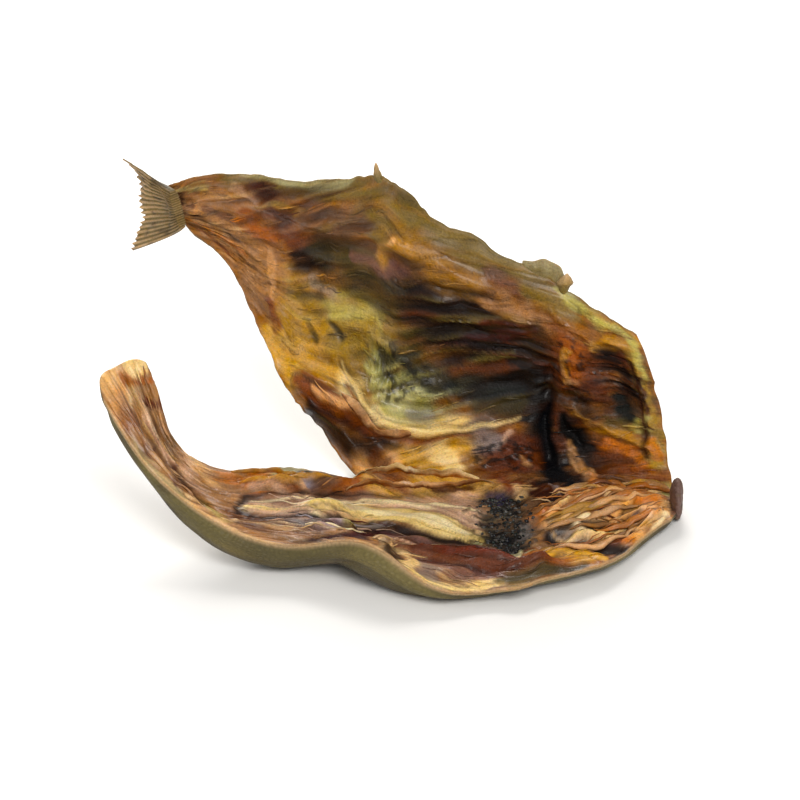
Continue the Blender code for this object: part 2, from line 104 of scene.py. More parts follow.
# Raised and sunken lines on the flesh: (height, half width), then their (v, w) points.
FAR_LINES = (
    # rim of the belly cavity
    ((1.9, 1.8), ((0.56, 0.24), (0.5, 0.21), (0.43, 0.22), (0.37, 0.21), (0.3, 0.25))),
    ((-1.0, 1.6), ((0.46, 0.29), (0.41, 0.285), (0.36, 0.3))),  # hollow inside that rim
    ((1.5, 2.0), ((0.64, 0.02), (0.56, 0.15), (0.48, 0.17), (0.42, 0.12))),  # torn belly wall
    ((-1.6, 1.8), ((0.58, 0.06), (0.5, 0.09), (0.43, 0.08))),  # fold under it
    # split edge of the back muscle
    ((1.6, 1.6), ((0.74, 0.8), (0.6, 0.76), (0.5, 0.82), (0.4, 0.86), (0.3, 0.83))),
    ((-1.4, 1.7), ((0.66, 0.68), (0.55, 0.7), (0.45, 0.76), (0.36, 0.76))),  # hollow along the backbone
    ((-2.4, 2.0), ((0.2, 0.55), (0.205, 0.35), (0.205, 0.14))),  # slit behind the gill arch
    ((1.3, 1.4), ((0.16, 0.43), (0.09, 0.32), (0.02, 0.26))),  # jaw bone
    ((1.2, 1.5), ((0.2, 0.86), (0.12, 0.82), (0.04, 0.9))),  # skull roof
    ((1.4, 1.6), ((0.03, 0.8), (0.02, 0.5), (0.03, 0.2))),  # rim of the snout
)
NEAR_LINES = (
    # groove beside the backbone
    ((-0.4, 1.4), ((0.69, 0.45), (0.615, 0.58), (0.51, 0.49), (0.44, 0.46), (0.39, 0.53), (0.35, 0.63))),
    ((1.8, 2.6), ((0.5, 0.6), (0.43, 0.62), (0.385, 0.7), (0.34, 0.84), (0.3, 0.9))),  # band of red muscle
    # crumpled belly flap
    ((1.3, 1.7), ((0.66, 0.16), (0.6, 0.19), (0.55, 0.13), (0.47, 0.06), (0.41, 0.02))),
    ((1.5, 1.5), ((0.24, 0.38), (0.177, 0.28), (0.1, 0.15))),  # gill arches
    ((1.4, 1.5), ((0.25, 0.5), (0.17, 0.45), (0.08, 0.42))),
    ((1.3, 1.5), ((0.255, 0.58), (0.165, 0.57), (0.08, 0.6))),
    ((1.0, 1.3), ((0.26, 0.75), (0.19, 0.82), (0.115, 0.85))),
    ((-1.6, 1.6), ((0.24, 0.62), (0.19, 0.7), (0.12, 0.72))),
    ((-1.2, 1.8), ((1.0, 0.42), (0.88, 0.45), (0.78, 0.5), (0.7, 0.6))),  # gutter of the tail
    ((1.1, 1.8), ((1.0, 0.15), (0.88, 0.2), (0.76, 0.22))),
)
# Raised and sunken lines on the outer skin, in the same form.
SKIN_LINES = (
    ((-1.3, 1.8), ((0.235, 0.86), (0.275, 0.62), (0.27, 0.4), (0.22, 0.16))),  # slit of the gill cover
    ((0.9, 2.6), ((0.3, 0.5), (0.36, 0.46), (0.42, 0.44))),  # side fin
    ((0.45, 1.3), ((0.28, 0.84), (0.45, 0.8), (0.7, 0.66), (1.0, 0.52))),  # side line
)
MOUND_FALL = 1.2  # how fast a mound falls off: e to the minus this is left at its reach
# Mounds and hollows on the flesh: height, then (v, w) and the reach along v and w.
FAR_MOUNDS = (
    (-3.0, (0.3, 0.55), (0.12, 0.2)),  # dark hollow of the chest
    (-2.2, (0.43, 0.4), (0.15, 0.17)),  # belly cavity
    (1.4, (0.52, 0.9), (0.22, 0.1)),  # thick of the back
    (-2.0, (0.65, 0.53), (0.035, 0.06)),  # pit
    (2.4, (0.155, 0.63), (0.03, 0.13)),  # brain case
    (-2.6, (0.075, 0.58), (0.035, 0.2)),  # eye socket
    (-1.8, (0.15, 0.24), (0.035, 0.09)),  # throat
    (1.6, (0.25, 0.14), (0.05, 0.07)),  # heart and gill root
    (1.2, (0.78, 0.45), (0.08, 0.3)),  # tail muscle
)
NEAR_MOUNDS = (
    (-1.0, (0.32, 0.38), (0.045, 0.26)),  # shrunken gut
    (-1.4, (0.32, 0.61), (0.03, 0.06)),
    (1.2, (0.45, 0.85), (0.1, 0.1)),  # thick of the back
    (1.3, (0.12, 0.25), (0.08, 0.2)),  # cheek
    (-1.2, (0.57, 0.16), (0.04, 0.08)),
)
# Patches of crumbly flesh: (v, w), then the reach along v and w.
FAR_CRUMBS = (((0.155, 0.63), (0.045, 0.17)), ((0.44, 0.38), (0.09, 0.1)), ((0.26, 0.13), (0.05, 0.1)))
NEAR_CRUMBS = (((0.31, 0.45), (0.05, 0.28)),)
# Drying creases: size along the fibres, size across them, share.
CREASES = ((26.0, 5.4, 0.44), (15.0, 3.0, 0.36), (9.0, 2.0, 0.2))
CREASE_MIDDLE = 0.55  # height of the ridges that counts as the plain flesh
# The fine cracks are darkened with painted shade.
CRACK_DEPTH = 0.35  # of the fine dark cracks
# Where the near half is smooth: from which v to which it turns so, and a patch: (v, w), then its reach.
CALM_TAIL = (0.62, 0.76)
CALM_PATCH = ((0.47, 0.34), (0.12, 0.12))

# Broken back spines: v, length, lean towards the tail, and how far the tip swells.
SPINES = ((0.545, 4.0, 14.0, 0.3), (0.175, 3.6, 0.0, 1.5))
SNOUT_PLACE = (62.1, -14.5, 4.7)
SNOUT_RADII = (1.5, 4.6, 4.8)
FIN_LENGTH = 21.0  # tail fin, root to tip
FIN_FORK = 8.0  # how much shorter its middle is
FIN_ROOT = 4.9  # half width where it leaves the tail
FIN_SPREAD = 11.5  # half width at the tips
FIN_THICK = 0.4  # half thickness
FIN_RAYS = 17
FIN_ROWS = 64  # rows of faces along it
FIN_TURN = (-0.55, 0.78, -0.3)  # the way it points
FIN_ACROSS = (-0.25, 0.2, 0.95)  # the way it spreads
FIN_OVERLAP = 4.0  # how far its root reaches into the tail
MEMBRANE = (0.17, 0.27)  # stretch of back edge that keeps a strip of fin
MEMBRANE_HEIGHT = 4.4
EYE = (0.09, 0.62)  # v, w
EYE_RADIUS = 3.3

# How the muscle fibres of the near half run: v, the w they gather round, and how far apart they spread.
NEAR_COURSE = ((0.0, 0.4, 1.9), (0.12, 0.46, 1.55), (0.25, 0.56, 0.9), (0.357, 0.54, 0.85),
               (0.385, 0.46, 0.95), (0.432, 0.36, 1.0), (0.487, 0.31, 1.0), (0.578, 0.47, 0.9),
               (0.638, 0.4, 0.7), (0.69, 0.38, 0.55), (0.8, 0.44, 0.75), (0.92, 0.48, 1.0), (1.0, 0.5, 1.1))

# Crisp strips and ridges, some of them painted highlights: shade, height, their (v, w) points, and the half
# width at each point.
NEAR_BANDS = (
    ("ivory", 0.3,
     ((0.677, 0.315), (0.615, 0.325), (0.54, 0.25), (0.475, 0.175), (0.42, 0.2), (0.375, 0.26), (0.33, 0.32)),
     (0.3, 0.5, 0.5, 0.6, 0.6, 0.8, 0.3)),
    ("umber", -0.3, ((0.68, 0.27), (0.615, 0.285), (0.54, 0.21), (0.475, 0.135), (0.42, 0.16)),
     (0.2, 0.4, 0.4, 0.4, 0.2)),
    # painted highlight on the pale film
    ("ivory", 0.2, ((0.47, 0.19), (0.44, 0.2), (0.4, 0.235)), (0.2, 0.7, 0.3)),
    ("butter", 0.1, ((0.6, 0.45), (0.545, 0.37), (0.487, 0.29), (0.432, 0.33), (0.385, 0.43), (0.348, 0.545)),
     (0.4, 1.6, 3.0, 3.6, 2.8, 0.5)),
    ("ivory", 0.1, ((0.565, 0.395), (0.53, 0.345), (0.487, 0.285), (0.44, 0.315), (0.4, 0.385), (0.36, 0.49)),
     (0.3, 1.0, 1.5, 1.6, 1.6, 0.5)),
    ("sand", 0.1, ((0.58, 0.47), (0.53, 0.43), (0.49, 0.36), (0.47, 0.34)), (0.3, 1.1, 0.9, 0.2)),
    ("cream", 0.2, ((0.685, 0.38), (0.647, 0.42), (0.6, 0.475), (0.55, 0.43)), (0.8, 0.9, 0.8, 0.3)),
    ("ash", 0.0, ((0.66, 0.5), (0.625, 0.64), (0.565, 0.55), (0.497, 0.42), (0.46, 0.39)),
     (0.3, 1.2, 1.4, 1.2, 0.3)),
    ("rose", 0.2, ((0.68, 0.41), (0.63, 0.45), (0.59, 0.5)), (0.5, 0.9, 0.2)),
    ("umber", -0.4, ((0.69, 0.44), (0.615, 0.555), (0.57, 0.54), (0.51, 0.46), (0.443, 0.445), (0.393, 0.52),
                     (0.35, 0.61)), (0.2, 0.35, 0.3, 0.4, 0.6, 0.6, 0.4)),
    ("maroon", -0.3, ((0.64, 0.95), (0.58, 0.9), (0.55, 0.72), (0.51, 0.53), (0.47, 0.46), (0.43, 0.47)),
     (0.5, 0.9, 0.9, 0.9, 0.6, 0.3)),
    ("mauve", 0.2, ((0.48, 0.49), (0.44, 0.5), (0.4, 0.58), (0.36, 0.68)), (0.4, 1.3, 1.5, 0.5)),
    ("chestnut", 0.8, ((0.49, 0.6), (0.43, 0.66), (0.385, 0.75), (0.34, 0.83), (0.295, 0.88)),
     (0.4, 2.4, 3.4, 3.0, 1.2)),
    ("brick", 0.2, ((0.46, 0.6), (0.42, 0.66), (0.37, 0.76), (0.32, 0.84)), (0.2, 0.7, 0.8, 0.3)),
    ("sand", 0.3, ((0.49, 0.6), (0.515, 0.72), (0.54, 0.9), (0.56, 1.0)), (0.3, 0.9, 0.9, 0.6)),
    ("umber", -0.4, ((0.5, 0.64), (0.52, 0.78), (0.55, 1.0)), (0.3, 0.8, 0.9)),
    ("cream", 0.4, ((0.52, 0.965), (0.47, 0.965), (0.42, 0.965), (0.375, 0.975)), (0.3, 0.8, 0.9, 0.3)),
    ("moss", 0.0, ((0.37, 0.95), (0.3, 0.95), (0.24, 0.97)), (0.5, 1.8, 1.0)),
    ("mahogany", -1.0, ((0.22, 0.68), (0.18, 0.75), (0.14, 0.79), (0.12, 0.76)), (1.2, 3.2, 3.2, 2.0)),
    ("umber", -0.8, ((0.235, 0.73), (0.193, 0.745), (0.147, 0.81), (0.11, 0.88)), (0.5, 1.2, 1.4, 0.8)),
    ("honey", 0.4, ((0.285, 0.8), (0.25, 0.78), (0.222, 0.87), (0.195, 0.97)), (0.6, 1.4, 1.5, 0.8)),
    ("umber", -0.9, ((0.245, 0.56), (0.2, 0.57), (0.15, 0.6), (0.1, 0.62)), (0.4, 0.9, 0.9, 0.4)),
    ("umber", -0.9, ((0.245, 0.48), (0.2, 0.42), (0.15, 0.38), (0.1, 0.33)), (0.5, 0.9, 0.9, 0.3)),
    ("umber", -0.9, ((0.24, 0.34), (0.2, 0.24), (0.16, 0.18)), (0.6, 1.1, 0.5)),
    ("peach", 0.9, ((0.235, 0.51), (0.195, 0.5), (0.158, 0.51), (0.122, 0.49), (0.08, 0.4)),
     (0.4, 1.2, 1.5, 1.3, 0.5)),
    # painted highlight along the crest of the gill plate beneath
    ("ivory", 0.2, ((0.215, 0.5), (0.18, 0.5), (0.15, 0.505)), (0.2, 0.5, 0.2)),
    ("cream", 0.8, ((0.228, 0.62), (0.195, 0.645), (0.155, 0.68), (0.11, 0.71)), (0.4, 1.0, 1.1, 0.4)),
    ("peach", 0.9, ((0.238, 0.42), (0.198, 0.32), (0.16, 0.26), (0.118, 0.18)), (0.5, 1.3, 1.5, 0.8)),
    # painted highlight along the crest of the gill plate beneath
    ("cream", 0.2, ((0.215, 0.36), (0.18, 0.29), (0.15, 0.24)), (0.2, 0.5, 0.2)),
    ("sand", 0.7, ((0.133, 0.34), (0.083, 0.24), (0.028, 0.08)), (0.8, 2.0, 1.8)),
    ("peach", 0.7, ((0.14, 0.58), (0.1, 0.57), (0.05, 0.62)), (0.4, 1.0, 0.7)),
    ("gold", 1.2, ((0.68, 0.13), (0.64, 0.15), (0.6, 0.17), (0.555, 0.12), (0.51, 0.04)),
     (0.5, 1.6, 1.9, 1.6, 0.5)),
    ("umber", -0.4, ((0.7, 0.46), (0.695, 0.36), (0.685, 0.28)), (0.2, 0.5, 0.3)),
    ("sand", 0.3, ((0.82, 0.93), (0.76, 0.8), (0.71, 0.62)), (0.4, 0.6, 0.2)),
    ("umber", -0.8, ((0.255, 0.6), (0.225, 0.7), (0.19, 0.83), (0.15, 1.0)), (0.5, 1.5, 1.9, 1.6)),
    ("ivory", 0.3, ((0.345, 0.68), (0.335, 0.72), (0.315, 0.73)), (0.15, 0.35, 0.15)),
    ("sand", 0.5, ((0.245, 0.59), (0.2, 0.655), (0.155, 0.69), (0.115, 0.7)), (0.2, 0.6, 0.6, 0.2)),
)
FAR_BANDS = (
    ("rust", -0.4, ((0.53, 0.195), (0.49, 0.175), (0.43, 0.175), (0.37, 0.175), (0.32, 0.2)),
     (0.2, 0.7, 0.7, 0.7, 0.3)),
    ("cream", 0.25,
     ((0.55, 0.25), (0.5, 0.215), (0.43, 0.207), (0.375, 0.203), (0.33, 0.22), (0.285, 0.275), (0.25, 0.33)),
     (0.2, 0.8, 0.9, 0.8, 0.5, 0.4, 0.2)),
    ("rust", 0.8, ((0.61, 0.05), (0.54, 0.125), (0.48, 0.16), (0.42, 0.185)), (0.5, 1.5, 1.6, 0.4)),
    ("peach", 0.2, ((0.58, 0.09), (0.53, 0.14), (0.48, 0.172)), (0.15, 0.5, 0.15)),
    ("pitch", -1.4, ((0.2, 0.42), (0.207, 0.3), (0.195, 0.12), (0.18, 0.01)), (0.4, 1.3, 1.5, 2.2)),
    ("ink", -1.2, ((0.175, 0.36), (0.165, 0.28), (0.15, 0.22)), (0.6, 1.7, 0.8)),
    ("chestnut", 0.9, ((0.26, 0.17), (0.24, 0.13), (0.235, 0.06)), (1.0, 1.9, 1.6)),
    ("fawn", 0.6, ((0.234, 0.14), (0.226, 0.1), (0.23, 0.07)), (0.3, 0.8, 0.5)),
    ("fawn", 0.8, ((0.17, 0.21), (0.15, 0.15), (0.14, 0.07), (0.142, 0.0)), (0.2, 0.6, 0.7, 0.6)),
    ("mahogany", -0.5, ((0.04, 0.78), (0.033, 0.45), (0.038, 0.2)), (0.3, 0.5, 0.3)),
)
# Streaky zones: centre and reach in (v, w), two pale shades, a deep one, strength, height, width of a streak.
FAR_ZONES = (
    ((0.32, 0.58), (0.15, 0.2), "olive", "chestnut", "plum", 0.8, 0.8, 1.5),
    ((0.6, 0.28), (0.14, 0.25), "straw", "gold", "moss", 0.45, 0.4, 1.8),
    ((0.6, 0.84), (0.24, 0.12), "tan", "olive", "mahogany", 0.6, 0.4, 1.9),
    ((0.88, 0.5), (0.15, 0.5), "sand", "peach", "taupe", 0.5, 0.3, 1.8),
    ((0.08, 0.65), (0.06, 0.2), "rust", "mahogany", "plum", 0.6, 0.4, 1.2),
    ((0.42, 0.34), (0.09, 0.1), "mint", "straw", "moss", 0.6, 0.3, 1.2),
)
NEAR_ZONES = (
    ((0.53, 0.55), (0.17, 0.35), "rose", "ivory", "maroon", 0.7, 0.25, 1.5),
    ((0.87, 0.5), (0.16, 0.55), "sand", "rose", "mauve", 0.38, 0.25, 2.6),
    ((0.38, 0.84), (0.1, 0.12), "mauve", "chestnut", "mahogany", 0.6, 0.3, 1.2),
    ((0.05, 0.5), (0.05, 0.5), "sand", "peach", "rust", 0.6, 0.35, 1.1),
)
# Courses of the gill filaments of the near half, from the gut to the snout.
GILL_RAYS = (
    ((0.242, 0.19), (0.18, 0.16), (0.095, 0.08), (0.015, 0.03)),
    ((0.25, 0.32), (0.182, 0.26), (0.095, 0.2), (0.01, 0.1)),
    ((0.26, 0.44), (0.185, 0.36), (0.098, 0.28), (0.01, 0.2)),
    ((0.263, 0.53), (0.19, 0.48), (0.1, 0.45), (0.015, 0.48)),
    ((0.265, 0.63), (0.198, 0.64), (0.122, 0.67), (0.035, 0.8)),
    ((0.275, 0.76), (0.23, 0.8), (0.155, 0.83), (0.07, 0.92)),
)

GILL_POINTS = 5  # points along each filament
# Kinds of filaments: piece, count in units of the property, thinnest, thickest, length, flatness, rise, seed.
GILL_KINDS = (("gill_leaves", 1, 1.5, 3.3, 0.72, 0.55, 1.0, 100),
              ("gill_threads", 3, 0.5, 1.2, 0.35, 0.8, 0.4, 101))
GILL_SHADES = ("peach", "orange", "tan", "sand", "orange", "peach", "gold", "rust", "amber", "orange")
# Strips of flesh beside the backbone: shade, and how far in w from its course.
BACKBONE_STRIPS = (("rose", -0.13), ("ivory", -0.09), ("maroon", 0.07), ("lilac", 0.1), ("rose", 0.13),
                   ("mauve", 0.17), ("ivory", 0.21), ("sand", 0.26))
GUT_CRUMBS = 300
GUT_SHADES = ("slate", "ink", "slate", "pitch", "slate", "teal", "ink")
NEAR_FIBRES = 200
FAR_FIBRES = 240
FLAP_ROWS = 120
FLAP_COLUMNS = 14
# Belly flaps: piece, far half or not, (v, w) points, their heights, lean, shades, seed, waviness.
BELLY_FLAPS = (
    ("belly_flap_front", False, ((0.5, 0.13), (0.46, 0.1), (0.4, 0.1), (0.34, 0.1), (0.28, 0.08)),
     (2.0, 2.6, 2.0, 2.4, 1.2), -0.6, ("rust", "peach"), 110, 0.7),
    ("belly_flap_middle", False, ((0.49, 0.03), (0.45, 0.04), (0.4, 0.03), (0.35, 0.04), (0.3, 0.03)),
     (1.6, 3.2, 2.4, 2.8, 1.4), -0.3, ("amber", "cream"), 120, 0.7),
    ("belly_flap_back", True, ((0.54, 0.15), (0.5, 0.155), (0.46, 0.165), (0.42, 0.18), (0.39, 0.2)),
     (1.0, 2.2, 2.0, 2.4, 1.0), 0.5, ("rust", "peach"), 130, 0.7),
    ("belly_flap_tail", False, ((0.68, 0.04), (0.64, 0.05), (0.6, 0.09), (0.565, 0.1)),
     (0.8, 1.4, 1.3, 0.6), 0.4, ("amber", "gold"), 140, 0.3),
)

CONTRAST = 1.32  # power that the painted colours are raised to
CONTRAST_PIVOT = 0.2  # the value that it leaves alone
PALEST = 0.88  # no colour gets paler
TONE = (0.88, 0.99, 1.08)  # makes the painted colours a little cooler
STROKE_STRAY = 0.42  # how far the edge of a stroke strays, as a share of its half width
WIDEST_STRAY = 4.0  # a wider stroke strays no further than one of this half width
BAND_STRAY = 0.22  # how far the edge of a strip strays
SKIN_WET = 0.25  # how moist the outer skin looks, from 0 to 1
HALF_ROWS = 330  # faces of a half from snout to tail
HALF_COLUMNS = 144  # and from belly to back

# The stage, in metres: lamps with their places, sizes, powers and tones.
FLOOR_SIZE = 6.0
LAMPS = (
    ("key", (-0.12, 0.92, 0.6), 0.7, 13.0, (1.0, 0.97, 0.93)),
    ("fill", (0.25, -0.7, 0.8), 0.6, 7.5, (1.0, 0.98, 0.95)),
    ("side", (-0.8, -0.1, 0.45), 0.4, 0.8, (1.0, 0.99, 0.97)),
)
LAMP_TARGET = (0.0, 0.0, 0.02)
BACKDROP_TONE = (1.0, 0.97, 0.94, 1.0)
BACKDROP_STRENGTH = 0.3
CAMERA_TARGET = (1.5, -12.0, 25.0)  # millimetres
CAMERA_RISE = 28.0  # degrees above the floor
CAMERA_AWAY = 0.7
CAMERA_LENS = 135.0

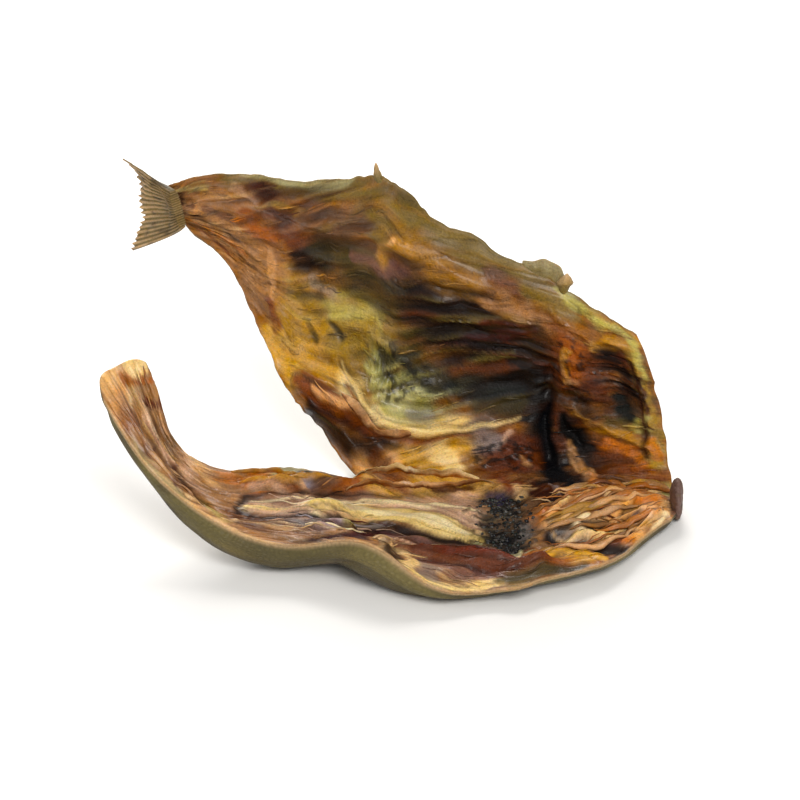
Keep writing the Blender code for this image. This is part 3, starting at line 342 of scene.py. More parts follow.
# Colour laid on the flesh in this order, painted highlights among it: shade, half width, strength, raised by,
# then its (v, w) points.
NEAR_STROKES = (
    ("sand", 10.0, 0.62, 0.0, ((1.0, 0.42), (0.85, 0.38))),
    ("fawn", 6.0, 0.8, 0.0, ((0.92, 0.9), (0.82, 0.8), (0.72, 0.7))),
    ("cream", 6.0, 0.6, 0.0, ((1.0, 0.35), (0.94, 0.45))),
    ("rose", 4.0, 0.6, 0.0, ((0.93, 0.35), (0.85, 0.4), (0.77, 0.36))),
    ("mahogany", 6.5, 0.9, 0.0, ((0.21, 0.1), (0.2, 0.35), (0.2, 0.6))),
    ("gold", 5.0, 0.85, 0.0, ((0.1, 0.1), (0.08, 0.35), (0.08, 0.62), (0.08, 0.9))),
    ("sand", 4.0, 0.8, 0.0, ((0.05, 0.1), (0.04, 0.5), (0.04, 0.9))),
    ("fawn", 4.0, 0.7, 0.0, ((0.95, 0.1), (0.8, 0.12))),
    ("peach", 3.0, 0.8, 0.0, ((1.0, 0.3), (0.98, 0.5), (0.985, 0.8), (0.97, 1.0))),
    ("sand", 2.4, 0.7, 0.2, ((1.0, 0.1), (1.0, 0.5), (0.995, 0.9))),
    ("amber", 1.5, 0.8, 0.2, ((0.93, 0.0), (0.955, 0.18), (0.972, 0.36), (0.978, 0.5))),
    ("cream", 2.6, 0.95, 0.2, ((1.0, 0.0), (0.98, 0.1), (0.99, 0.3))),
    ("brick", 1.3, 0.8, -0.3, ((0.87, 0.0), (0.89, 0.14), (0.92, 0.3))),
    ("rust", 1.8, 0.6, 0.2, ((0.925, 0.45), (0.93, 0.7), (0.945, 0.95))),
    ("fawn", 2.6, 0.6, -0.2, ((0.84, 0.0), (0.83, 0.14), (0.86, 0.28))),
    ("moss", 1.6, 0.4, 0.0, ((0.8, 0.0), (0.82, 0.2), (0.8, 0.34), (0.8, 0.46))),
    ("rose", 2.4, 0.5, 0.3, ((0.76, 0.08), (0.78, 0.28), (0.85, 0.38), (0.9, 0.42))),
    ("sand", 3.0, 0.6, 0.2, ((0.75, 0.0), (0.735, 0.2))),
    ("maroon", 0.8, 0.6, -0.3, ((0.8, 0.28), (0.82, 0.42), (0.84, 0.5))),
    ("mauve", 0.9, 0.6, -0.3, ((0.81, 0.5), (0.835, 0.75), (0.845, 0.95))),
    ("mauve", 0.9, 0.5, -0.3, ((0.87, 0.55), (0.9, 0.97))),
    ("umber", 0.8, 0.8, -0.4, ((0.81, 0.465), (0.77, 0.49), (0.745, 0.52))),
    ("straw", 2.0, 0.6, 0.2, ((0.76, 0.54), (0.76, 0.68), (0.775, 0.88))),
    ("taupe", 1.8, 0.6, -0.3, ((0.79, 0.63), (0.79, 0.8))),
    ("mint", 3.0, 0.5, 0.0, ((0.9, 1.0), (0.84, 0.97))),
    ("sand", 2.6, 0.7, 0.2, ((0.81, 1.0), (0.77, 0.97), (0.72, 1.0))),
    ("chestnut", 2.6, 0.7, -0.2, ((0.71, 0.48), (0.69, 0.6), (0.71, 0.74))),
    ("tan", 2.2, 0.5, 0.2, ((0.74, 0.8), (0.72, 0.9))),
    ("taupe", 3.6, 0.6, 0.0, ((0.69, 0.78), (0.66, 0.88), (0.65, 0.95))),
    ("orange", 3.4, 0.8, 0.2, ((0.69, 0.12), (0.65, 0.14), (0.63, 0.08), (0.63, 0.0))),
    ("amber", 2.6, 0.95, -0.2, ((0.66, 0.28), (0.63, 0.31), (0.605, 0.28), (0.6, 0.14))),
    ("umber", 1.0, 0.8, -0.2, ((0.665, 0.28), (0.69, 0.34))),
    ("mahogany", 1.8, 0.8, -0.2, ((0.695, 0.42), (0.68, 0.5), (0.67, 0.62))),
    ("cream", 1.2, 0.8, 0.0, ((0.685, 0.37), (0.66, 0.41), (0.64, 0.44))),
    ("rose", 2.0, 0.7, 0.1, ((0.65, 0.2), (0.635, 0.18), (0.6, 0.35), (0.59, 0.42))),
    ("mint", 3.2, 0.8, 0.0, ((0.6, 0.03), (0.57, 0.02), (0.6, 0.1))),
    ("lilac", 2.4, 0.9, 0.2, ((0.57, 0.13), (0.57, 0.23))),
    ("stone", 2.2, 0.6, 0.0, ((0.54, 0.12), (0.55, 0.2))),
    ("peach", 1.3, 0.7, 0.2, ((0.585, 0.2), (0.565, 0.28))),
    ("moss", 1.6, 0.9, -0.3, ((0.56, 0.09), (0.51, 0.04), (0.48, 0.0))),
    ("rust", 2.8, 0.95, -0.3, ((0.46, 0.14), (0.5, 0.14), (0.53, 0.22), (0.56, 0.29))),
    ("amber", 3.0, 0.8, 0.2, ((0.49, 0.08), (0.47, 0.03))),
    ("tan", 2.0, 0.8, 0.2, ((0.59, 0.33), (0.55, 0.33), (0.52, 0.27), (0.48, 0.22))),
    ("rose", 3.0, 0.85, 0.1, ((0.46, 0.2), (0.42, 0.22), (0.39, 0.24), (0.36, 0.3), (0.38, 0.4))),
    # painted highlight on the pale film
    ("ivory", 1.2, 0.7, 0.3, ((0.46, 0.195), (0.42, 0.235))),
    ("olive", 1.1, 0.6, -0.2, ((0.41, 0.16), (0.35, 0.14))),
    ("lilac", 2.0, 0.5, 0.1, ((0.37, 0.42), (0.35, 0.5))),
    ("rose", 3.0, 0.8, 0.0, ((0.335, 0.16), (0.335, 0.36), (0.345, 0.45))),
    ("lilac", 4.4, 0.75, 0.0, ((0.64, 0.54), (0.61, 0.62), (0.625, 0.78), (0.59, 0.66))),
    ("rose", 1.4, 0.6, 0.4, ((0.61, 0.58), (0.615, 0.7), (0.6, 0.82))),
    ("sand", 2.0, 0.6, 0.2, ((0.59, 0.58), (0.56, 0.62))),
    ("maroon", 1.8, 0.6, -0.4, ((0.63, 0.74), (0.6, 0.78))),
    ("sage", 1.6, 0.7, 0.0, ((0.49, 0.36), (0.52, 0.45), (0.55, 0.6), (0.565, 0.7))),
    ("rose", 1.0, 0.7, 0.3, ((0.48, 0.44), (0.52, 0.58), (0.555, 0.82), (0.58, 0.87))),
    ("rose", 4.4, 0.7, 0.0, ((0.46, 0.22), (0.42, 0.26), (0.38, 0.33), (0.35, 0.42))),
    ("rose", 4.6, 0.9, 0.0,
     ((0.66, 0.36), (0.6, 0.38), (0.55, 0.32), (0.5, 0.27), (0.44, 0.24), (0.36, 0.3))),
    ("fawn", 4.0, 0.8, 0.0, ((0.67, 0.6), (0.64, 0.8), (0.6, 0.85))),
    ("rose", 3.2, 0.7, 0.0, ((0.64, 0.52), (0.6, 0.58), (0.56, 0.52), (0.5, 0.44))),
    ("cream", 3.0, 0.95, 0.2,
     ((0.58, 0.44), (0.55, 0.38), (0.52, 0.31), (0.48, 0.27), (0.44, 0.33), (0.4, 0.42),
                               (0.362, 0.52))),
    ("butter", 1.8, 0.9, 0.1, ((0.47, 0.29), (0.43, 0.36), (0.4, 0.43), (0.366, 0.52))),
    ("straw", 0.9, 0.6, -0.2, ((0.57, 0.4), (0.54, 0.34), (0.51, 0.29))),
    ("ivory", 1.4, 0.8, 0.2, ((0.69, 0.4), (0.66, 0.4), (0.63, 0.43), (0.59, 0.5))),
    # painted highlight on the pale film, laid again
    ("ivory", 1.0, 0.8, 0.2, ((0.45, 0.2), (0.42, 0.23), (0.39, 0.28))),
    ("slate", 0.8, 0.85, -0.3, ((0.61, 0.53), (0.585, 0.545), (0.555, 0.51), (0.52, 0.44), (0.49, 0.38))),
    ("mauve", 2.6, 0.9, 0.0, ((0.475, 0.46), (0.44, 0.5), (0.4, 0.57), (0.37, 0.63))),
    ("umber", 0.9, 0.9, -0.4, ((0.465, 0.41), (0.43, 0.45), (0.4, 0.5), (0.365, 0.59))),
    ("maroon", 1.5, 0.95, -0.5,
     ((0.475, 0.41), (0.51, 0.53), (0.545, 0.7), (0.56, 0.82), (0.58, 0.92), (0.64, 0.95))),
    ("chestnut", 4.8, 0.95, 0.3, ((0.48, 0.62), (0.43, 0.68), (0.39, 0.76), (0.35, 0.84), (0.3, 0.88))),
    ("mahogany", 2.6, 0.9, -0.2, ((0.42, 0.76), (0.37, 0.86), (0.32, 0.91))),
    ("brick", 1.2, 0.6, 0.3, ((0.44, 0.65), (0.4, 0.72), (0.35, 0.79))),
    ("sand", 1.2, 0.8, 0.4, ((0.49, 0.57), (0.515, 0.7), (0.53, 0.85), (0.55, 1.0))),
    ("umber", 1.4, 0.8, -0.4, ((0.49, 0.62), (0.505, 0.75), (0.53, 0.97))),
    ("cream", 1.5, 0.75, 0.3, ((0.475, 0.64), (0.485, 0.78), (0.51, 0.98))),
    ("ash", 1.8, 0.7, 0.0, ((0.465, 0.76), (0.47, 0.88), (0.49, 1.0))),
    ("mauve", 3.0, 0.75, 0.0, ((0.44, 0.8), (0.42, 0.87), (0.38, 0.9))),
    ("cream", 1.4, 0.9, 0.4, ((0.5, 0.97), (0.46, 0.955), (0.42, 0.95), (0.37, 0.955))),
    ("olive", 2.6, 0.8, 0.0, ((0.35, 0.97), (0.28, 0.97), (0.22, 1.0))),
    ("amber", 2.0, 0.9, 0.2, ((0.295, 0.7), (0.28, 0.8), (0.29, 0.86))),
    ("amber", 4.6, 0.6, 0.0, ((0.3, 0.92), (0.24, 0.93), (0.18, 0.93))),
    ("honey", 2.8, 0.9, 0.2, ((0.265, 0.76), (0.25, 0.84), (0.22, 0.9))),
    ("slate", 3.8, 0.95, 0.0, ((0.29, 0.22), (0.29, 0.36), (0.295, 0.5), (0.31, 0.6))),
    ("taupe", 1.4, 0.7, 0.2, ((0.31, 0.33), (0.295, 0.42), (0.31, 0.5))),
    ("ink", 1.6, 0.9, -0.3, ((0.325, 0.37), (0.33, 0.45))),
    ("violet", 1.8, 0.9, 0.0, ((0.292, 0.19), (0.288, 0.26))),
    ("ink", 1.8, 0.95, -0.3, ((0.25, 0.18), (0.268, 0.3), (0.275, 0.34))),
    ("ink", 2.6, 0.95, -0.5, ((0.345, 0.54), (0.32, 0.56), (0.31, 0.64), (0.33, 0.66))),
    ("mint", 0.7, 0.8, 0.4, ((0.36, 0.57), (0.345, 0.65), (0.34, 0.71), (0.315, 0.72), (0.305, 0.67))),
    ("ash", 1.6, 0.5, 0.2, ((0.28, 0.45), (0.29, 0.56))),
    ("taupe", 2.6, 0.8, 0.2, ((0.235, 0.28), (0.25, 0.42))),
    ("orange", 4.2, 0.85, 0.3, ((0.23, 0.44), (0.17, 0.36), (0.12, 0.28), (0.085, 0.28), (0.05, 0.45))),
    ("peach", 2.4, 0.85, 0.4, ((0.185, 0.36), (0.14, 0.28), (0.11, 0.22))),
    # painted highlight on the gill filaments
    ("ivory", 0.9, 0.8, 0.3, ((0.17, 0.34), (0.14, 0.29), (0.11, 0.26))),
    ("orange", 3.0, 0.7, 0.2, ((0.055, 0.3), (0.05, 0.55), (0.04, 0.85))),
    ("sand", 3.2, 0.8, 0.2, ((0.06, 0.05), (0.04, 0.16), (0.02, 0.3))),
    ("straw", 1.8, 0.8, 0.0, ((0.02, 0.02), (0.014, 0.3))),
    ("umber", 4.0, 0.95, -0.6, ((0.105, 0.0), (0.09, 0.11))),
    ("orange", 1.8, 0.85, 0.4, ((0.14, 0.0), (0.13, 0.1), (0.145, 0.2))),
    ("pitch", 3.4, 0.97, -0.8, ((0.19, 0.0), (0.165, 0.03))),
    ("ash", 0.8, 0.7, 0.3, ((0.2, 0.08), (0.2, 0.2))),
    ("ash", 0.8, 0.7, 0.3, ((0.16, 0.1), (0.165, 0.2))),
    ("mahogany", 2.6, 0.85, -0.4, ((0.225, 0.16), (0.2, 0.28), (0.18, 0.2))),
    ("brick", 2.6, 0.8, 0.2, ((0.275, 0.04), (0.26, 0.12))),
    ("honey", 3.4, 0.85, 0.3, ((0.31, 0.1), (0.34, 0.05), (0.38, 0.08))),
    ("rust", 2.2, 0.7, 0.0, ((0.42, 0.05), (0.41, 0.11))),
    ("honey", 1.6, 0.8, 0.3, ((0.43, 0.15), (0.46, 0.08))),
    ("sand", 1.7, 0.8, 0.3, ((0.245, 0.12), (0.25, 0.18))),
    ("mahogany", 1.1, 0.8, -0.3, ((0.36, 0.12), (0.32, 0.12))),
    ("sand", 3.6, 0.9, 0.4, ((0.225, 0.52), (0.2, 0.58), (0.17, 0.55))),
    ("ivory", 1.1, 0.8, 0.3, ((0.215, 0.56), (0.19, 0.66))),
    ("taupe", 2.2, 0.8, 0.0, ((0.155, 0.64), (0.14, 0.58))),
    ("umber", 1.0, 0.9, -0.4, ((0.175, 0.62), (0.155, 0.66))),
    ("sand", 2.4, 0.8, 0.3, ((0.165, 0.7), (0.13, 0.76), (0.1, 0.72))),
    ("umber", 2.3, 0.95, -0.6, ((0.24, 0.6), (0.22, 0.7), (0.19, 0.82), (0.155, 1.0))),
    ("brick", 1.7, 0.8, 0.2, ((0.155, 0.86), (0.13, 0.9))),
    ("orange", 2.4, 0.8, 0.2, ((0.12, 0.82), (0.12, 0.94))),
    ("peach", 2.4, 0.85, 0.3, ((0.1, 0.88), (0.09, 0.98))),
    ("mauve", 1.7, 0.8, 0.2, ((0.1, 0.58), (0.09, 0.68))),
    ("maroon", 1.5, 0.9, -0.4, ((0.085, 0.72), (0.08, 0.82))),
    ("mahogany", 1.7, 0.9, -0.3, ((0.165, 0.44), (0.15, 0.46))),
    ("rose", 1.7, 0.7, 0.3, ((0.07, 0.6), (0.06, 0.86))),
    ("ivory", 2.0, 0.7, 0.2, ((0.05, 1.0), (0.03, 0.94))),
    ("stone", 1.6, 0.9, 0.0, ((0.0, 0.36), (0.0, 0.92))),
)
FAR_STROKES = (
    ("fawn", 15.0, 0.85, 0.0, ((1.0, 0.5), (0.84, 0.45))),
    ("mustard", 9.0, 0.85, 0.0, ((0.68, 0.3), (0.6, 0.32), (0.54, 0.36), (0.48, 0.42))),
    ("honey", 6.0, 0.7, 0.0, ((0.68, 0.1), (0.6, 0.14), (0.54, 0.2))),
    ("fawn", 6.0, 0.9, 0.0, ((0.79, 0.1), (0.76, 0.3), (0.76, 0.55))),
    ("rust", 6.0, 0.6, 0.0, ((0.68, 0.66), (0.6, 0.74), (0.5, 0.72))),
    ("plum", 10.0, 0.9, 0.0, ((0.38, 0.68), (0.3, 0.64), (0.24, 0.6))),
    ("plum", 6.0, 0.85, 0.0, ((0.32, 0.52), (0.24, 0.46), (0.21, 0.36))),
    ("mauve", 1.6, 0.5, -0.3, ((1.0, 0.7), (0.9, 0.62), (0.84, 0.6))),
    ("orange", 2.0, 0.6, 0.2, ((1.0, 0.3), (0.9, 0.26), (0.83, 0.3))),
    ("brick", 1.3, 0.5, -0.2, ((0.97, 0.12), (0.88, 0.1))),
    ("straw", 2.4, 0.5, 0.2, ((0.97, 0.9), (0.88, 0.88))),
    ("taupe", 3.0, 0.5, -0.2, ((0.95, 0.45), (0.85, 0.42))),
    ("olive", 4.6, 0.85, 0.0, ((0.8, 0.97), (0.65, 0.94), (0.5, 0.9), (0.4, 0.96), (0.3, 0.98))),
    ("mint", 1.6, 0.6, 0.2, ((0.78, 1.0), (0.66, 0.97), (0.6, 1.0))),
    ("chestnut", 4.4, 0.7, 0.0, ((0.76, 0.88), (0.7, 0.84), (0.64, 0.84), (0.58, 0.8))),
    ("mahogany", 2.8, 0.95, -0.3, ((0.75, 0.9), (0.73, 0.86))),
    # painted highlight on the tail muscle
    ("rose", 1.6, 0.4, 0.4, ((0.8, 0.9), (0.76, 0.8), (0.735, 0.72))),
    ("gold", 1.6, 0.85, 0.4, ((0.72, 0.845), (0.68, 0.81))),
    ("amber", 4.4, 0.95, 0.0, ((0.795, 0.7), (0.775, 0.62), (0.74, 0.6))),
    ("tan", 4.0, 0.6, 0.2, ((0.73, 0.5), (0.72, 0.3), (0.74, 0.12))),
    # painted highlight on the tan flesh
    ("peach", 1.2, 0.35, 0.3, ((0.745, 0.52), (0.735, 0.32), (0.73, 0.2))),
    ("chestnut", 4.0, 0.8, 0.0, ((0.72, 0.75), (0.7, 0.68), (0.68, 0.62))),
    ("umber", 3.2, 0.95, -0.5, ((0.675, 0.55), (0.65, 0.58), (0.63, 0.61))),
    ("moss", 4.4, 0.8, 0.0, ((0.62, 0.64), (0.59, 0.66), (0.56, 0.57))),
    ("ash", 1.3, 0.55, 0.3, ((0.65, 0.485), (0.63, 0.47), (0.6, 0.49))),
    ("honey", 3.0, 0.7, 0.2, ((0.61, 0.3), (0.625, 0.2), (0.6, 0.12))),
    ("straw", 2.6, 0.6, 0.1, ((0.59, 0.43), (0.54, 0.48), (0.5, 0.52))),
    ("mustard", 3.4, 0.8, 0.1, ((0.57, 0.3), (0.535, 0.36), (0.5, 0.43))),
    ("moss", 1.3, 0.85, -0.4, ((0.59, 0.37), (0.57, 0.345))),
    ("moss", 1.1, 0.7, -0.3, ((0.63, 0.3), (0.61, 0.26))),
    ("brick", 2.2, 0.7, 0.2, ((0.725, 0.16), (0.7, 0.11))),
    ("honey", 2.2, 0.9, 0.3, ((0.71, 0.04), (0.66, 0.03), (0.62, 0.05), (0.6, 0.1))),
    ("honey", 2.8, 0.8, 0.2, ((0.59, 0.17), (0.56, 0.17), (0.53, 0.22))),
    ("rust", 3.0, 0.9, 0.0, ((0.59, 0.07), (0.54, 0.12), (0.5, 0.15), (0.46, 0.17), (0.42, 0.19))),
    ("peach", 0.8, 0.8, 0.4, ((0.58, 0.09), (0.53, 0.13), (0.49, 0.165))),
    ("brick", 0.9, 0.7, -0.2, ((0.57, 0.06), (0.52, 0.1), (0.47, 0.14))),
    ("umber", 2.4, 0.97, -0.6, ((0.56, 0.03), (0.5, 0.06), (0.46, 0.09), (0.43, 0.13))),
    ("cream", 2.6, 0.97, 0.3,
     ((0.53, 0.18), (0.49, 0.205), (0.45, 0.225), (0.41, 0.22), (0.37, 0.22), (0.33, 0.235))),
    # painted highlight on the rim of the belly cavity
    ("ivory", 1.2, 0.9, 0.3, ((0.46, 0.23), (0.41, 0.23), (0.37, 0.225))),
    ("sage", 4.6, 0.9, 0.0, ((0.47, 0.38), (0.43, 0.33), (0.39, 0.31), (0.41, 0.38))),
    ("slate", 1.6, 0.7, -0.2, ((0.44, 0.46), (0.4, 0.41), (0.36, 0.36))),
    ("straw", 1.6, 0.7, 0.1, ((0.5, 0.34), (0.46, 0.29), (0.42, 0.27))),
    ("moss", 1.5, 0.9, -0.3, ((0.485, 0.43), (0.45, 0.4))),
    ("moss", 1.9, 0.9, -0.3, ((0.405, 0.46), (0.38, 0.43), (0.36, 0.4))),
    ("mint", 1.6, 0.7, 0.2, ((0.45, 0.3), (0.42, 0.28), (0.4, 0.34))),
    ("lilac", 1.2, 0.35, -0.2, ((0.4, 0.27), (0.37, 0.265))),
    ("moss", 4.6, 0.9, 0.0, ((0.56, 0.64), (0.5, 0.61), (0.46, 0.65))),
    ("taupe", 3.8, 0.7, 0.0, ((0.66, 0.78), (0.58, 0.79), (0.52, 0.75), (0.46, 0.8))),
    # painted highlight lines on the back muscle
    ("mauve", 0.9, 0.8, 0.4, ((0.57, 0.67), (0.5, 0.7), (0.45, 0.77))),
    ("gold", 1.8, 0.8, 0.4, ((0.515, 0.75), (0.49, 0.8), (0.455, 0.86))),
    ("peach", 0.8, 0.7, 0.3, ((0.515, 0.77), (0.48, 0.83))),
    ("plum", 6.5, 0.97, 0.0, ((0.4, 0.68), (0.36, 0.71), (0.31, 0.66), (0.26, 0.67), (0.22, 0.62))),
    ("plum", 5.0, 0.95, 0.0, ((0.31, 0.54), (0.26, 0.52), (0.22, 0.47))),
    ("maroon", 1.1, 0.8, 0.4, ((0.38, 0.56), (0.33, 0.6), (0.28, 0.66), (0.24, 0.73))),
    ("moss", 1.2, 0.85, 0.4, ((0.43, 0.54), (0.39, 0.57), (0.35, 0.62))),
    ("olive", 1.3, 0.7, 0.4, ((0.34, 0.49), (0.3, 0.54), (0.27, 0.58))),
    ("rust", 1.8, 0.7, 0.2, ((0.345, 0.47), (0.31, 0.46), (0.28, 0.52))),
    ("maroon", 0.9, 0.7, 0.4, ((0.33, 0.68), (0.28, 0.73), (0.24, 0.77))),
    ("ink", 2.8, 0.85, -0.2, ((0.34, 0.4), (0.3, 0.42), (0.26, 0.44), (0.23, 0.46))),
    ("teal", 1.4, 0.7, 0.0, ((0.35, 0.38), (0.3, 0.4), (0.25, 0.42))),
    ("moss", 2.0, 0.85, 0.0, ((0.31, 0.33), (0.275, 0.34), (0.25, 0.37))),
    ("gold", 3.2, 0.6, 0.2, ((0.43, 0.84), (0.38, 0.82), (0.34, 0.84))),
    ("fawn", 2.2, 0.7, 0.3, ((0.295, 0.82), (0.27, 0.79), (0.25, 0.83))),
    ("fawn", 1.6, 0.8, 0.3, ((0.31, 0.77), (0.26, 0.79), (0.21, 0.8))),
    ("mauve", 2.2, 0.7, 0.0, ((0.31, 0.9), (0.28, 0.88))),
    ("olive", 3.6, 0.8, 0.1, ((0.25, 0.92), (0.18, 0.92), (0.15, 0.95))),
    ("straw", 1.8, 0.7, 0.0, ((0.18, 0.97), (0.12, 0.95), (0.09, 0.93))),
    ("mahogany", 4.0, 0.8, 0.0, ((0.12, 0.62), (0.1, 0.7), (0.09, 0.78))),
    ("rust", 5.0, 0.9, 0.3, ((0.165, 0.74), (0.155, 0.66), (0.165, 0.58), (0.14, 0.52))),
    ("amber", 2.4, 0.8, 0.4, ((0.16, 0.74), (0.155, 0.66), (0.168, 0.58), (0.15, 0.53))),
    ("gold", 1.2, 0.8, 0.4, ((0.168, 0.72), (0.176, 0.64), (0.165, 0.56))),
    ("fawn", 0.9, 0.8, 0.4, ((0.178, 0.62), (0.172, 0.56), (0.15, 0.57))),
    ("gold", 2.2, 0.95, 0.4, ((0.11, 0.8), (0.075, 0.86), (0.04, 0.9), (0.015, 0.94))),
    ("plum", 4.2, 0.97, -0.4, ((0.07, 0.76), (0.05, 0.66), (0.06, 0.58))),
    ("brick", 1.2, 0.5, 0.2, ((0.06, 0.8), (0.04, 0.74))),
    ("mahogany", 2.6, 0.7, 0.0, ((0.12, 0.55), (0.1, 0.5), (0.1, 0.43))),
    ("teal", 2.2, 0.95, -0.4, ((0.075, 0.52), (0.07, 0.44), (0.055, 0.45))),
    ("umber", 2.8, 0.9, -0.3, ((0.15, 0.5), (0.135, 0.43), (0.15, 0.4))),
    ("olive", 2.0, 0.7, 0.0, ((0.1, 0.375), (0.075, 0.37))),
    ("mahogany", 6.0, 0.8, 0.0, ((0.12, 0.2), (0.1, 0.12), (0.13, 0.04))),
    ("rust", 2.6, 0.8, 0.0, ((0.11, 0.22), (0.08, 0.16), (0.06, 0.08))),
    ("gold", 1.4, 0.85, 0.3, ((0.155, 0.4), (0.11, 0.335), (0.075, 0.31), (0.035, 0.28))),
    ("chestnut", 2.2, 0.85, 0.2, ((0.18, 0.38), (0.155, 0.36))),
    ("ink", 3.2, 0.97, -0.6, ((0.17, 0.31), (0.155, 0.26), (0.148, 0.2))),
    ("ink", 2.6, 0.97, -0.6, ((0.212, 0.34), (0.21, 0.26), (0.205, 0.16))),
    ("pitch", 3.4, 0.97, -0.6, ((0.185, 0.13), (0.18, 0.02))),
    ("orange", 1.8, 0.85, 0.3, ((0.1, 0.255), (0.06, 0.22), (0.04, 0.12))),
    ("peach", 1.1, 0.85, 0.5, ((0.168, 0.22), (0.152, 0.15), (0.14, 0.08), (0.135, 0.0))),
    ("chestnut", 1.6, 0.85, 0.3, ((0.185, 0.22), (0.188, 0.33))),
    ("chestnut", 5.2, 0.95, 0.3, ((0.285, 0.19), (0.25, 0.16), (0.26, 0.08))),
    ("mauve", 1.6, 0.7, 0.2, ((0.31, 0.22), (0.28, 0.2), (0.26, 0.24))),
    ("rust", 1.7, 0.8, 0.5, ((0.235, 0.155), (0.218, 0.13), (0.222, 0.1))),
    ("mahogany", 5.0, 0.45, 0.0, ((0.29, 0.17), (0.25, 0.14))),
    ("mauve", 3.0, 0.5, 0.0, ((0.285, 0.18), (0.26, 0.13))),
    ("rose", 1.0, 0.8, 0.3, ((0.265, 0.21), (0.255, 0.25))),
    ("ash", 2.6, 0.7, 0.1, ((0.315, 0.18), (0.29, 0.2), (0.3, 0.24))),
    ("chestnut", 2.0, 0.8, 0.1, ((0.275, 0.1), (0.26, 0.13))),
    ("honey", 4.6, 0.97, 0.2, ((0.35, 0.14), (0.385, 0.12), (0.36, 0.03), (0.39, 0.03))),
    ("cream", 1.8, 0.85, 0.3, ((0.36, 0.16), (0.335, 0.06))),
    ("peach", 2.6, 0.95, 0.5, ((0.46, 0.04), (0.425, 0.05), (0.42, 0.09))),
    ("rust", 1.5, 0.8, -0.2, ((0.44, 0.1), (0.4, 0.03))),
    ("mustard", 2.4, 0.9, 0.2, ((0.03, 0.98), (0.02, 0.7), (0.015, 0.5), (0.02, 0.16))),
    ("straw", 1.5, 0.8, 0.2, ((0.1, 0.96), (0.05, 0.97), (0.02, 0.9), (0.012, 0.75))),
    ("mahogany", 0.7, 0.85, -0.3, ((0.025, 0.72), (0.022, 0.4))),
    ("taupe", 1.0, 0.6, 0.1, ((0.004, 0.86), (0.0, 0.5))),
    ("orange", 1.4, 0.7, 0.2, ((0.022, 0.32), (0.018, 0.2))),
    ("rust", 2.6, 0.8, 0.0, ((0.055, 0.05), (0.02, 0.06))),
    ("straw", 1.8, 0.8, 0.2, ((0.045, 0.36), (0.03, 0.46))),
)


def linear(red, green, blue):
    """A colour given from 0 to 255 on screen, as the light values that shaders take."""
    return tuple(math.pow((c / 255.0 + 0.055) / 1.055, 2.4) if c > 10 else c / 3294.6
                 for c in (red, green, blue))


def shade(name, what, red, green, blue):
    """A colour that a user can change, with its default given from 0 to 255 on screen."""
    return bpy.props.FloatVectorProperty(name=name, description=what, subtype="COLOR", size=3,
                                         min=0.0, max=1.0, default=linear(red, green, blue))


def length(name, what, millimetres):
    """A small length that a user can change."""
    return bpy.props.FloatProperty(name=name, description=what, default=millimetres * MM, min=0.0,
                                   unit="LENGTH", subtype="DISTANCE", precision=5)


class FishColours(bpy.types.PropertyGroup):
    cream: shade("Cream", "Rim of the belly cavity", 238, 204, 146)
    butter: shade("Butter", "Fat on the backbone", 248, 214, 148)
    ivory: shade("Ivory", "Dry bone and gristle", 252, 226, 182)
    straw: shade("Straw", "Crumbly pale flesh", 182, 168, 105)
    sand: shade("Sand", "Pale dry flesh", 214, 176, 130)
    sage: shade("Sage", "Lining of the belly cavity", 150, 144, 92)
    mint: shade("Mint", "Pale glassy skin seen from inside", 180, 170, 130)
    olive: shade("Olive", "Thin flesh over the back skin", 124, 106, 60)
    moss: shade("Moss", "Dark blotches of the cavity", 80, 68, 36)
    honey: shade("Honey", "Clear yellow fat", 198, 154, 80)
    gold: shade("Gold", "Lights on the back muscle", 182, 136, 70)
    mustard: shade("Mustard", "Oily yellow flesh", 158, 128, 66)
    amber: shade("Amber", "Deep clear orange", 160, 94, 36)
    orange: shade("Orange", "Gill filaments, tail edge", 192, 122, 64)
    peach: shade("Peach", "Pale filaments", 220, 168, 116)
    rust: shade("Rust", "Brown orange flesh", 130, 76, 40)
    brick: shade("Brick", "Red streaks", 122, 62, 42)
    chestnut: shade("Chestnut", "Red muscle", 110, 64, 42)
    mahogany: shade("Mahogany", "Dark red muscle", 82, 38, 18)
    # Umber is painted shade: it is laid in the sunken grooves and cracks, along the foot of the strips, in
    # the mouth slit and in the crease round each eye.
    umber: shade("Umber", "Deep creases", 44, 22, 11)
    plum: shade("Plum", "Dark chest wall", 34, 15, 10)
    maroon: shade("Maroon", "Blood line", 84, 36, 34)
    ink: shade("Ink", "Burnt black flesh", 20, 17, 17)
    pitch: shade("Pitch", "Black blood behind the gills", 13, 16, 24)
    slate: shade("Slate", "Dried gut", 68, 65, 60)
    teal: shade("Teal", "Black lining with a cold sheen", 30, 40, 38)
    violet: shade("Violet", "Dried spleen", 62, 52, 78)
    fawn: shade("Fawn", "Pinkish brown flesh", 166, 124, 86)
    mauve: shade("Mauve", "Purple brown flesh", 122, 86, 76)
    rose: shade("Rose", "Pale pink flesh", 200, 162, 136)
    lilac: shade("Lilac", "Greyish glistening film", 166, 154, 160)
    ash: shade("Ash", "Grey film", 146, 132, 124)
    tan: shade("Tan", "Plain dried flesh", 156, 108, 60)
    taupe: shade("Taupe", "Dull brown flesh", 108, 82, 60)
    stone: shade("Stone", "Grey brown skin of the snout", 108, 80, 70)
    skin: shade("Skin", "Outer skin of the sides", 116, 106, 70)
    skin_back: shade("Back skin", "Outer skin along the back", 60, 48, 27)
    edge_skin: shade("Edge skin", "Outer skin beside the cut", 116, 104, 50)
    skin_belly: shade("Belly skin", "Outer skin along the belly", 152, 142, 104)
    floor: shade("Floor", "Plain pale floor", 250, 250, 249)


